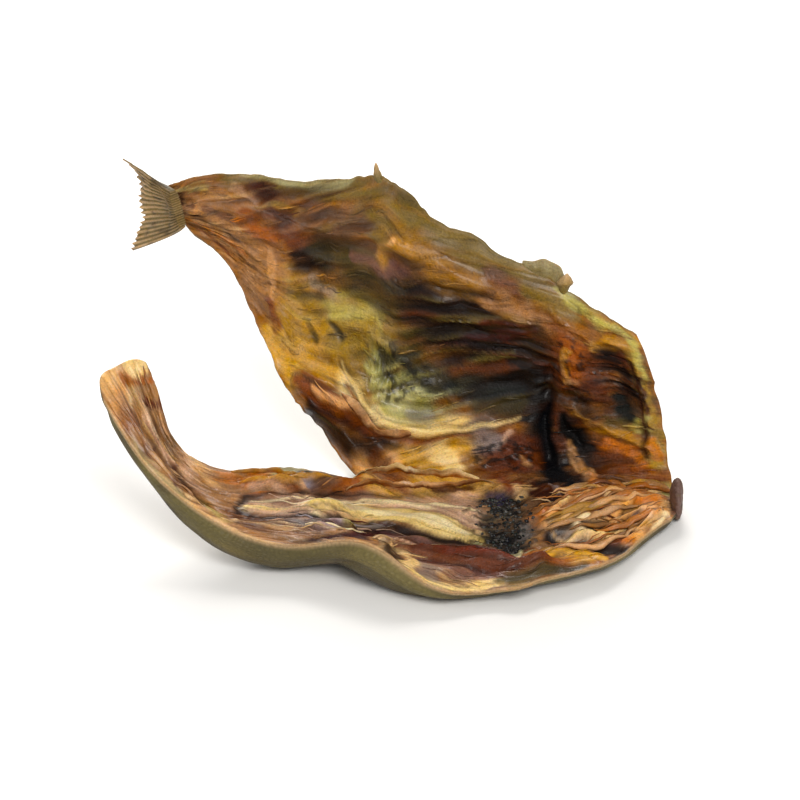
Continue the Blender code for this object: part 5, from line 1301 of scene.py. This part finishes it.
def flap(name, far, points, heights, lean, kinds, seed, wave):
    """A thin torn flap of belly wall that stands up out of the flesh along a line."""
    piece = slab(name, FLAP_ROWS, FLAP_COLUMNS)
    t, s, top = flat_points(piece)
    keys = np.linspace(0.0, 1.0, len(points))
    route = np.clip(spline(np.concatenate([keys[:, None], np.array(points, float)], 1), t), 0.0, 1.0)
    height = spline(np.stack([keys, np.array(heights, float)], 1), t)[..., 0]
    v, w = route[:, 0], route[:, 1]
    foot, normal, _ = on_flesh(v, w, far, -0.4)
    ahead, behind = (middle(np.clip(v + step, 0.0, 1.0), signed(w, far)) for step in (AHEAD, -AHEAD))
    side = unit(np.cross(unit(ahead - behind), normal))
    torn = 1.0 + 0.28 * ripple(t * 7.0, seed) + 0.06 * ripple(t * 19.0, seed + 1)
    ends = 2.0 * t - 1.0
    up = s * height * torn * (0.15 + 0.85 * rounded(ends, 4))
    sway = wave * s * (soft_noise(t * 6.0, s * 2.0, seed + 2) + 0.3 * soft_noise(t * 13.0, s * 3.0, seed + 3))
    thick = (0.45 - 0.22 * s) * rounded(ends, 8, 0.05)
    out = np.where(top, thick, -thick) * rounded(s, 6, 0.1)
    bend = lean * s ** 1.5 * height
    places = foot + normal * up[:, None] + side * (bend + sway + out)[:, None]
    places[:, 2] = np.maximum(places[:, 2], 0.4)
    mix = smoothstep(s + 0.3 * soft_noise(t * 17.0, s * 3.0, seed + 4), 0.2, 0.9)
    patina = 0.85 + 0.25 * soft_noise(t * 11.0, s * 4.0, seed + 5)
    lay(piece, places, mixed(*named(kinds), mix) * patina[:, None], np.full(len(t), 0.8),
        (t * 30.0, s * height))
    hand_over(piece, flesh_finish())


def belly_flaps():
    """The torn belly wall, dried into crumpled lips along the fold."""
    for name, far, points, heights, lean, kinds, seed, wave in BELLY_FLAPS:
        flap(name, far, points, heights, lean, kinds, SEED + seed, wave)


def tail_fin():
    """A forked fan of rays with dried skin between them."""
    piece = slab("tail_fin", FIN_ROWS, 8 * FIN_RAYS)
    along, s, top = flat_points(piece)
    across = 2.0 * s - 1.0
    ends = edges(np.array([1.0]))
    root = (ends[1] + ends[3])[0] / 2.0
    turn = unit(np.array(FIN_TURN))
    wide = unit(np.array(FIN_ACROSS) - turn * np.dot(FIN_ACROSS, turn))
    flat_way = np.cross(turn, wide)
    ray = np.cos(across * math.pi * FIN_RAYS)
    reach = FIN_LENGTH - FIN_FORK * (1.0 - np.abs(across) ** 1.4)
    reach += ripple(across * 5.0 + 9.0, SEED + 2)
    reach += along ** 6 * (0.5 * ray + 0.7 * ripple(across * 31.0, SEED + 151))
    spread = FIN_ROOT + (FIN_SPREAD - FIN_ROOT) * along ** 0.8
    curl = 2.0 * along ** 2 * np.sin(across * 2.0) + 0.8 * along * np.sin(across * 5.0 + along * 4.0)
    crumple = 0.25 * along * soft_noise(along * 9.0, across * 8.0, SEED + 152)
    thick = (FIN_THICK * 0.55 + 0.2 * ray) * (1.0 - 0.45 * along) + 0.1
    thick = thick * rounded(np.abs(across), 16, 0.1)
    thick = thick + 0.9 * (1.0 - smoothstep(along, 0.1, 0.3)) * rounded(across, 4)
    out = along * (reach + FIN_OVERLAP) - FIN_OVERLAP
    offset = np.where(top, thick, -thick) + curl + crumple
    places = root + out[:, None] * turn + (across * spread)[:, None] * wide + offset[:, None] * flat_way
    dark, pale, warm = named(("skin_back", "sand", "olive"))
    tint = mixed(warm, pale, smoothstep(ray, -0.6, 0.7) * (0.4 + 0.4 * along))
    spots = smoothstep(soft_noise(along * 9.0, across * 7.0, SEED + 153), 0.1, 0.9)
    paint(tint, dark, 0.6 * spots + 0.25 * (1.0 - along))
    lay(piece, places, tint, np.full(len(s), 0.35), (out, across * spread), 50.0)
    hand_over(piece, flesh_finish())


def fin_strip():
    """What is left of the back fin: a thin strip folded towards the head; the knob of its broken ray comes
    with the spines.
    """
    piece = slab("fin_strip", 80, 16)
    along, up, top = flat_points(piece)
    v = MEMBRANE[1] + (MEMBRANE[0] - MEMBRANE[1]) * along
    back = edges(v)[3]
    rise = unit(back - edges(v)[1])
    side = unit(np.cross(rise, edges(v + AHEAD)[3] - back))
    height = MEMBRANE_HEIGHT * (0.06 + 0.94 * np.sin(math.pi * 0.5 * np.minimum(along / 0.7, 1.0)))
    height = height * (1.0 - 0.5 * smoothstep(along, 0.82, 1.0)) + 0.3 * ripple(along * 5.0, SEED + 3)
    thick = (0.34 - 0.14 * up) * rounded(up, 8, 0.15) * rounded(2.0 * along - 1.0, 10, 0.15)
    offset = np.where(top, thick, -thick) + 0.8 * np.sin(along * 7.0) * up
    places = back + rise * (up * (height + 2.0) - 2.0)[:, None] + side * offset[:, None]
    green, pale = named(("olive", "mint"))
    mix = smoothstep(up + 0.3 * soft_noise(along * 12.0, up * 3.0, SEED + 161), 0.3, 1.0)
    tint = green + (pale - green) * 0.6 * mix[:, None]
    lay(piece, places, tint, np.full(len(up), 0.5), (along * 14.0, up * 6.0))
    hand_over(piece, flesh_finish())


def back_spines():
    """The broken stump of a back spine, and the knob on the fin strip."""
    piece, t, circle = rods("back_spines", len(SPINES), 20, 24)
    places = np.empty((*t.shape, 3))
    for i, (v, height, lean, swell) in enumerate(SPINES):
        place = np.array([v])
        foot = edges(place)[3][0]
        up = unit(foot - edges(place)[1][0] + lean * (edges(place + 0.02)[3][0] - foot))
        side = unit(np.cross(up, (0.3, 1.0, 0.2)))
        other = np.cross(up, side)
        bulb = swell * np.exp(-((t[i] - 0.68) / 0.27) ** 2)
        girth = 1.15 - 0.6 * smoothstep(t[i], 0.2, 0.7) + bulb
        girth = girth * (1.0 + 0.12 * soft_noise(t[i] * 7.0, t[i] * 0.0 + i, SEED + 170))
        way = blunted(circle[i], 0.6)
        climb = t[i] * (height + 2.2) - 2.0
        bend = 0.5 * np.sin(t[i] * 3.0 + i)
        places[i] = foot + up * climb[:, None] + side * (girth * way[:, 0] + bend)[:, None]
        places[i] += other * (girth * way[:, 1])[:, None]
    low, high = named(("olive", "sand"))
    tint = low + (high - low) * 0.7 * smoothstep(t, 0.3, 0.9)[..., None]
    lay(piece, places.reshape(-1, 3), tint.reshape(-1, 3), np.full(t.size, 0.4),
        (t.ravel() * 5.0, circle[..., 0].ravel() * 2.0))
    hand_over(piece, flesh_finish())


def snout():
    """The shrunken jaws at the tip of the near half, with the slit of the mouth."""
    piece, t, circle = rods("snout", 1, 48, 40)
    t, circle = t[0], circle[0]
    ball = np.stack([circle[:, 0], circle[:, 1], -np.cos(t * math.pi)], -1)
    x, y, z = ball.T
    lump = 1.0 + 0.1 * np.sin(5.0 * y + 2.0 * z) + 0.04 * soft_noise(y * 9.0, z * 9.0, SEED + 180)
    slit = np.exp(-((z - 0.15 - 0.15 * y) / 0.09) ** 2) * smoothstep(x, 0.1, 0.6)
    places = np.array(SNOUT_PLACE) + ball * np.array(SNOUT_RADII) * (lump - 0.28 * slit)[:, None]
    places[:, 2] = np.maximum(places[:, 2], 0.2)
    dull, dark, pale = named(("stone", "umber", "taupe"))
    tint = mixed(dull, pale, smoothstep(soft_noise(y * 5.0, z * 5.0, SEED + 181), 0.0, 0.8))
    # Painted shade inside the slit of the mouth.
    paint(tint, dark, 0.9 * slit)
    lay(piece, places, tint, np.full(len(t), 0.5), (z * 4.0, y * 4.0))
    hand_over(piece, skin_finish())


def eyes():
    """Shrunken eyes, sunk in their rings on the outer skin of both halves."""
    for name, far in (("eye_far", True), ("eye_near", False)):
        piece, t, circle = rods(name, 1, 32, 24)
        t, circle = t[0], circle[0]
        v = EYE[0] + circle[:, 0] * EYE_RADIUS / LENGTH
        w = EYE[1] + circle[:, 1] * EYE_RADIUS / HALF_WIDTH
        depth = -np.cos(t * math.pi)
        out = np.linalg.norm(circle, axis=-1)
        dent = 0.5 * np.exp(-(out / 0.35) ** 2)
        above = flesh_top(v, w, far)[0]
        bulge = np.where(depth > 0.0, 0.6 * depth * (1.0 - dent), 0.3 * depth)
        offset = skin_bottom(v, w, far, above) + bulge
        places = middle(v, signed(w, far)) - flesh_side(v, w, far) * offset[:, None]
        places[:, 2] = np.maximum(places[:, 2], 0.1)
        iris, black, painted_rim_shade = named(("moss", "pitch", "umber"))
        tint = mixed(black, iris, smoothstep(out, 0.32, 0.45))
        # Painted shade in the crease where the eye meets the skin round it.
        paint(tint, painted_rim_shade, smoothstep(out, 0.72, 0.95))
        lay(piece, places, tint, np.full(len(t), 1.0), (circle[:, 0] * 3.0, circle[:, 1] * 3.0))
        hand_over(piece, flesh_finish())


def skin_tint(v, w, folds):
    """Outer skin: darker along the back, paler at the belly, blotched and streaked, with painted shade in the
    troughs of its folds and painted light on their crests.
    """
    along, across = v * LENGTH, w * HALF_WIDTH
    blotch = layered(along, across, SEED + 80, (11.0, 8.0, 1.0), (4.0, 3.0, 0.5))
    tint = np.tile(colour("skin"), (len(v), 1))
    pale = 1.0 - smoothstep(w, 0.05, 0.45) + 0.25 * blotch
    paint(tint, colour("skin_belly"), np.clip(pale, 0.0, 1.0))
    dark = 0.1 + 0.75 * smoothstep(w, 0.35, 0.95) + 0.35 * blotch
    paint(tint, colour("skin_back"), np.clip(dark, 0.0, 1.0))
    streak = smoothstep(soft_noise(along / 18.0, across / 1.4, SEED + 82), 0.15, 0.8)
    tint += (colour("moss") - tint) * 0.45 * streak[:, None]
    warm = smoothstep(soft_noise(along / 9.0, across / 6.0, SEED + 83), 0.2, 0.9)
    tint += (colour("taupe") - tint) * 0.4 * warm[:, None]
    edge = 0.6 * smoothstep(w, 0.82, 0.97) * (1.0 - np.clip(blotch, 0.0, 0.6))
    paint(tint, colour("edge_skin"), edge)
    # Painted shade in the troughs of the skin folds and painted light on their crests.
    return tint * (0.7 + 0.5 * smoothstep(folds, -0.3, 0.3))[:, None]


def group(name, inputs, outputs):
    """An empty shader node group with its sockets, and its input and output nodes."""
    tree = bpy.data.node_groups.new(name, "ShaderNodeTree")
    for title, kind, value in inputs:
        socket = tree.interface.new_socket(title, in_out="INPUT", socket_type=kind)
        if value is not None:
            socket.default_value = value
    for title, kind in outputs:
        tree.interface.new_socket(title, in_out="OUTPUT", socket_type=kind)
    return tree, tree.nodes.new("NodeGroupInput"), tree.nodes.new("NodeGroupOutput")


def feed(tree, socket, value):
    """Sets a socket to a number, or links another socket to it."""
    if isinstance(value, (int, float)):
        socket.default_value = value
    else:
        tree.links.new(value, socket)


def maths(tree, operation, first, second, clamp=False):
    """A Math node between two sockets or numbers; returns its result."""
    node = tree.nodes.new("ShaderNodeMath")
    node.operation = operation
    node.use_clamp = clamp
    for socket, value in zip(node.inputs, (first, second)):
        feed(tree, socket, value)
    return node.outputs[0]


def plus(tree, base, value, factor, clamp=False):
    """Math nodes for base + value x factor."""
    return maths(tree, "ADD", base, maths(tree, "MULTIPLY", value, factor), clamp)


def noise(tree, vector, scale, detail=3.0):
    """A Noise Texture's value over vector."""
    node = tree.nodes.new("ShaderNodeTexNoise")
    node.inputs["Detail"].default_value = detail
    node.inputs["Roughness"].default_value = 0.6
    node.inputs["Scale"].default_value = scale
    tree.links.new(vector, node.inputs["Vector"])
    return node.outputs[0]


def ramp(tree, value, low, high, start=0.0, end=1.0):
    """A value from low to high, turned into one from start to end and kept within them."""
    node = tree.nodes.new("ShaderNodeMapRange")
    for title, number in (("From Min", low), ("From Max", high), ("To Min", start), ("To Max", end)):
        node.inputs[title].default_value = number
    tree.links.new(value, node.inputs["Value"])
    return node.outputs["Result"]


def stretched(tree, vector, along, across):
    """Coordinates with their first two parts multiplied."""
    node = tree.nodes.new("ShaderNodeVectorMath")
    node.operation = "MULTIPLY"
    node.inputs[1].default_value = (along, across, 1.0)
    tree.links.new(vector, node.inputs[0])
    return node.outputs[0]


def fibre_group():
    """Streaks along the fibres: a mask for colour and a height for the bump."""
    if "fibre_streaks" in bpy.data.node_groups:
        return bpy.data.node_groups["fibre_streaks"]
    inputs = (("Coordinates", "NodeSocketVector", None), ("Strength", "NodeSocketFloat", 1.0))
    outputs = (("Streaks", "NodeSocketFloat"), ("Height", "NodeSocketFloat"))
    tree, entry, leave = group("fibre_streaks", inputs, outputs)
    broad = noise(tree, stretched(tree, entry.outputs["Coordinates"], 1.2, 9.0), 1.0)
    thin = noise(tree, stretched(tree, entry.outputs["Coordinates"], 3.0, 30.0), 1.0, 2.0)
    both = plus(tree, maths(tree, "MULTIPLY", broad, 0.6), thin, 0.4)
    centred = maths(tree, "SUBTRACT", ramp(tree, both, 0.35, 0.65), 0.5)
    tree.links.new(maths(tree, "MULTIPLY", centred, entry.outputs["Strength"]), leave.inputs["Streaks"])
    tree.links.new(both, leave.inputs["Height"])
    return tree


def mottle_group():
    """Blotches and fine specks in the stuff itself."""
    if "mottle" in bpy.data.node_groups:
        return bpy.data.node_groups["mottle"]
    tree, entry, leave = group("mottle", (("Size", "NodeSocketFloat", 1.0),),
                               (("Blotches", "NodeSocketFloat"), ("Specks", "NodeSocketFloat")))
    place = tree.nodes.new("ShaderNodeTexCoord").outputs["Object"]
    scaled = tree.nodes.new("ShaderNodeVectorMath")
    scaled.operation = "SCALE"
    tree.links.new(place, scaled.inputs[0])
    tree.links.new(entry.outputs["Size"], scaled.inputs["Scale"])
    for title, size, detail in (("Blotches", 330.0, 4.0), ("Specks", 1900.0, 2.0)):
        cloud = noise(tree, scaled.outputs[0], size, detail)
        tree.links.new(ramp(tree, cloud, 0.3, 0.7), leave.inputs[title])
    return tree


def use_group(tree, made, **values):
    """A node group placed in a tree, with its inputs set or linked."""
    node = tree.nodes.new("ShaderNodeGroup")
    node.node_tree = made
    for title, value in values.items():
        feed(tree, node.inputs[title], value)
    return node


def start_finish(name):
    """A new material: its tree, its shader, its painted tint, and its coordinates along the fibres."""
    material = bpy.data.materials.new(name)
    material.use_nodes = True
    tree = material.node_tree
    shader = next(n for n in tree.nodes if n.type == "BSDF_PRINCIPLED")
    tint = tree.nodes.new("ShaderNodeAttribute")
    tint.attribute_name = "tint"
    place = tree.nodes.new("ShaderNodeUVMap")
    place.uv_map = "fibres"
    return material, tree, shader, tint, place.outputs["UV"]


def coloured(tree, tint, brightness, saturation):
    """The painted tint, made brighter and richer."""
    node = tree.nodes.new("ShaderNodeHueSaturation")
    tree.links.new(tint.outputs["Color"], node.inputs["Color"])
    feed(tree, node.inputs["Value"], brightness)
    feed(tree, node.inputs["Saturation"], saturation)
    return node.outputs["Color"]


def bumped(tree, shader, height, millimetres):
    """Gives a shader a bump of so many millimetres."""
    bump = tree.nodes.new("ShaderNodeBump")
    bump.inputs["Strength"].default_value = 1.0
    bump.inputs["Distance"].default_value = millimetres * MM
    tree.links.new(height, bump.inputs["Height"])
    tree.links.new(bump.outputs["Normal"], shader.inputs["Normal"])


def flesh_finish():
    """Dried flesh: streaked along its fibres, specked, oily and smoother where it is wet."""
    if "dried_flesh_finish" in bpy.data.materials:
        return bpy.data.materials["dried_flesh_finish"]
    material, tree, shader, tint, place = start_finish("dried_flesh_finish")
    wet = tint.outputs["Alpha"]
    dull = maths(tree, "SUBTRACT", 1.0, maths(tree, "MULTIPLY", wet, 0.85), clamp=True)
    strength = maths(tree, "MULTIPLY", dull, 0.62)
    fibre = use_group(tree, fibre_group(), Coordinates=place, Strength=strength)
    spots = use_group(tree, mottle_group(), Size=1.0)
    light = maths(tree, "ADD", 1.0, fibre.outputs["Streaks"])
    light = plus(tree, light, maths(tree, "SUBTRACT", spots.outputs["Specks"], 0.5), 0.35)
    rich = plus(tree, 0.94, spots.outputs["Blotches"], 0.2)
    tree.links.new(coloured(tree, tint, light, rich), shader.inputs["Base Color"])
    rough = maths(tree, "SUBTRACT", 0.62, maths(tree, "MULTIPLY", wet, 0.26))
    rough = plus(tree, rough, fibre.outputs["Streaks"], 0.2, clamp=True)
    tree.links.new(rough, shader.inputs["Roughness"])
    tree.links.new(ramp(tree, wet, 0.3, 0.9, 0.0, 0.5), shader.inputs["Coat Weight"])
    for title, value in (("Specular IOR Level", 0.22), ("Coat Roughness", 0.22), ("Subsurface Weight", 0.12),
                         ("Subsurface Radius", (1.0, 0.45, 0.15)), ("Subsurface Scale", 1.2 * MM)):
        shader.inputs[title].default_value = value
    height = plus(tree, fibre.outputs["Height"], spots.outputs["Specks"], 0.35)
    bumped(tree, shader, maths(tree, "MULTIPLY", height, dull), 0.62)
    return material


def skin_finish():
    """Dry outer skin with fine scales."""
    if "dried_skin_finish" in bpy.data.materials:
        return bpy.data.materials["dried_skin_finish"]
    material, tree, shader, tint, place = start_finish("dried_skin_finish")
    scales = tree.nodes.new("ShaderNodeTexVoronoi")
    scales.inputs["Scale"].default_value = 14.0
    scales.inputs["Randomness"].default_value = 0.6
    tree.links.new(stretched(tree, place, 0.8, 1.3), scales.inputs["Vector"])
    spots = use_group(tree, mottle_group(), Size=0.8)
    rings = ramp(tree, scales.outputs["Distance"], 0.1, 0.6, 1.0, 0.0)
    light = plus(tree, plus(tree, 0.78, rings, 0.22), spots.outputs["Specks"], 0.25)
    tree.links.new(coloured(tree, tint, light, 1.0), shader.inputs["Base Color"])
    tree.links.new(ramp(tree, spots.outputs["Blotches"], 0.0, 1.0, 0.5, 0.7), shader.inputs["Roughness"])
    bumped(tree, shader, plus(tree, rings, spots.outputs["Blotches"], 0.5), 0.22)
    return material


def make_stage():
    """Pale floor, soft light and the camera."""
    deselect()
    bpy.ops.mesh.primitive_plane_add(size=FLOOR_SIZE, location=(0.0, 0.0, 0.0))
    floor = bpy.context.object
    floor.name = "floor"
    material = bpy.data.materials.new("floor_finish")
    material.use_nodes = True
    shader = next(n for n in material.node_tree.nodes if n.type == "BSDF_PRINCIPLED")
    shader.inputs["Base Color"].default_value = (*bpy.context.scene.fish_colours.floor, 1.0)
    shader.inputs["Roughness"].default_value = 0.6
    floor.data.materials.append(material)
    for name, place, size, power, tone in LAMPS:
        bpy.ops.object.light_add(type="AREA", location=place)
        lamp = bpy.context.object
        lamp.name = name
        lamp.data.size = size
        lamp.data.energy = power
        lamp.data.color = tone
        lamp.rotation_euler = (Vector(LAMP_TARGET) - Vector(place)).to_track_quat("-Z", "Y").to_euler()
    world = bpy.data.worlds.new("studio")
    world.use_nodes = True
    backdrop = next(n for n in world.node_tree.nodes if n.type == "BACKGROUND")
    backdrop.inputs["Color"].default_value = BACKDROP_TONE
    backdrop.inputs["Strength"].default_value = BACKDROP_STRENGTH
    bpy.context.scene.world = world
    bpy.context.scene.view_settings.view_transform = "Standard"
    rise = math.radians(CAMERA_RISE)
    away = Vector((0.0, -math.cos(rise), math.sin(rise))) * CAMERA_AWAY
    bpy.ops.object.camera_add(location=Vector(CAMERA_TARGET) * MM + away)
    camera = bpy.context.object
    camera.rotation_euler = (-away).to_track_quat("-Z", "Y").to_euler()
    camera.data.lens = CAMERA_LENS
    camera.data.clip_start = 0.01
    bpy.context.scene.camera = camera


class MakeNearHalf(bpy.types.Operator):
    """Model the half that lies on its skin"""
    bl_idname = "dried_fish.near_half"
    bl_label = "Near Half"

    def execute(self, context):
        half("near_half", False)
        return {"FINISHED"}


class MakeFarHalf(bpy.types.Operator):
    """Model the half that stands and leans back"""
    bl_idname = "dried_fish.far_half"
    bl_label = "Far Half"

    def execute(self, context):
        half("far_half", True)
        return {"FINISHED"}


class MakeStage(bpy.types.Operator):
    """Set the pale floor, the soft lights and the camera"""
    bl_idname = "dried_fish.stage"
    bl_label = "Stage"

    def execute(self, context):
        make_stage()
        return {"FINISHED"}


class MakeTailFin(bpy.types.Operator):
    """Model the forked tail fin"""
    bl_idname = "dried_fish.tail_fin"
    bl_label = "Tail Fin"

    def execute(self, context):
        tail_fin()
        return {"FINISHED"}


class MakeBackFin(bpy.types.Operator):
    """Model the strip of the back fin and the stumps of its spines"""
    bl_idname = "dried_fish.back_fin"
    bl_label = "Back Fin"

    def execute(self, context):
        fin_strip()
        back_spines()
        return {"FINISHED"}


class MakeHead(bpy.types.Operator):
    """Model the snout and the eyes"""
    bl_idname = "dried_fish.head"
    bl_label = "Head"

    def execute(self, context):
        snout()
        eyes()
        return {"FINISHED"}


class MakeGills(bpy.types.Operator):
    """Model the dried gill filaments"""
    bl_idname = "dried_fish.gills"
    bl_label = "Gills"

    def execute(self, context):
        gill_filaments()
        return {"FINISHED"}


class MakeBackbone(bpy.types.Operator):
    """Model the strips of flesh beside the backbone"""
    bl_idname = "dried_fish.backbone"
    bl_label = "Backbone"

    def execute(self, context):
        backbone_strips()
        return {"FINISHED"}


class MakeBellyFlaps(bpy.types.Operator):
    """Model the crumpled lips of the torn belly wall"""
    bl_idname = "dried_fish.belly_flaps"
    bl_label = "Belly Flaps"

    def execute(self, context):
        belly_flaps()
        return {"FINISHED"}


class MakeTornFibres(bpy.types.Operator):
    """Model the loose fibres and crumbs on the flesh of both halves"""
    bl_idname = "dried_fish.torn_fibres"
    bl_label = "Fibres and Crumbs"

    def execute(self, context):
        gut_crumbs()
        torn_fibres("torn_fibres_near", False, NEAR_FIBRES, SEED + 200)
        torn_fibres("torn_fibres_far", True, FAR_FIBRES, SEED + 201)
        return {"FINISHED"}


STEPS = (MakeStage, MakeNearHalf, MakeFarHalf, MakeTailFin, MakeBackFin, MakeHead, MakeGills, MakeBackbone,
         MakeBellyFlaps, MakeTornFibres)


class FishPanel(bpy.types.Panel):
    """Lists the pieces of the fish with their sizes and colours"""
    bl_idname = "VIEW3D_PT_dried_fish"
    bl_label = "Dried Rabbitfish"
    bl_space_type = "VIEW_3D"
    bl_region_type = "UI"
    bl_category = "Dried Fish"

    def draw(self, context):
        for step in STEPS:
            self.layout.operator(step.bl_idname)
        for values in (context.scene.fish_sizes, context.scene.fish_colours):
            for name in values.__annotations__:
                self.layout.prop(values, name)


CLASSES = (FishColours, FishSizes, *STEPS, FishPanel)


def register():
    """Adds the classes, and their properties to the scene."""
    for kind in CLASSES:
        bpy.utils.register_class(kind)
    bpy.types.Scene.fish_colours = bpy.props.PointerProperty(type=FishColours)
    bpy.types.Scene.fish_sizes = bpy.props.PointerProperty(type=FishSizes)


def unregister():
    """Takes the properties and the classes away again."""
    del bpy.types.Scene.fish_sizes
    del bpy.types.Scene.fish_colours
    for kind in reversed(CLASSES):
        bpy.utils.unregister_class(kind)


def main():
    """Registers the add-on and models every piece."""
    register()
    bpy.ops.dried_fish.stage()
    bpy.ops.dried_fish.near_half()
    bpy.ops.dried_fish.far_half()
    bpy.ops.dried_fish.tail_fin()
    bpy.ops.dried_fish.back_fin()
    bpy.ops.dried_fish.head()
    bpy.ops.dried_fish.gills()
    bpy.ops.dried_fish.backbone()
    bpy.ops.dried_fish.belly_flaps()
    bpy.ops.dried_fish.torn_fibres()


if __name__ == "__main__":
    main()
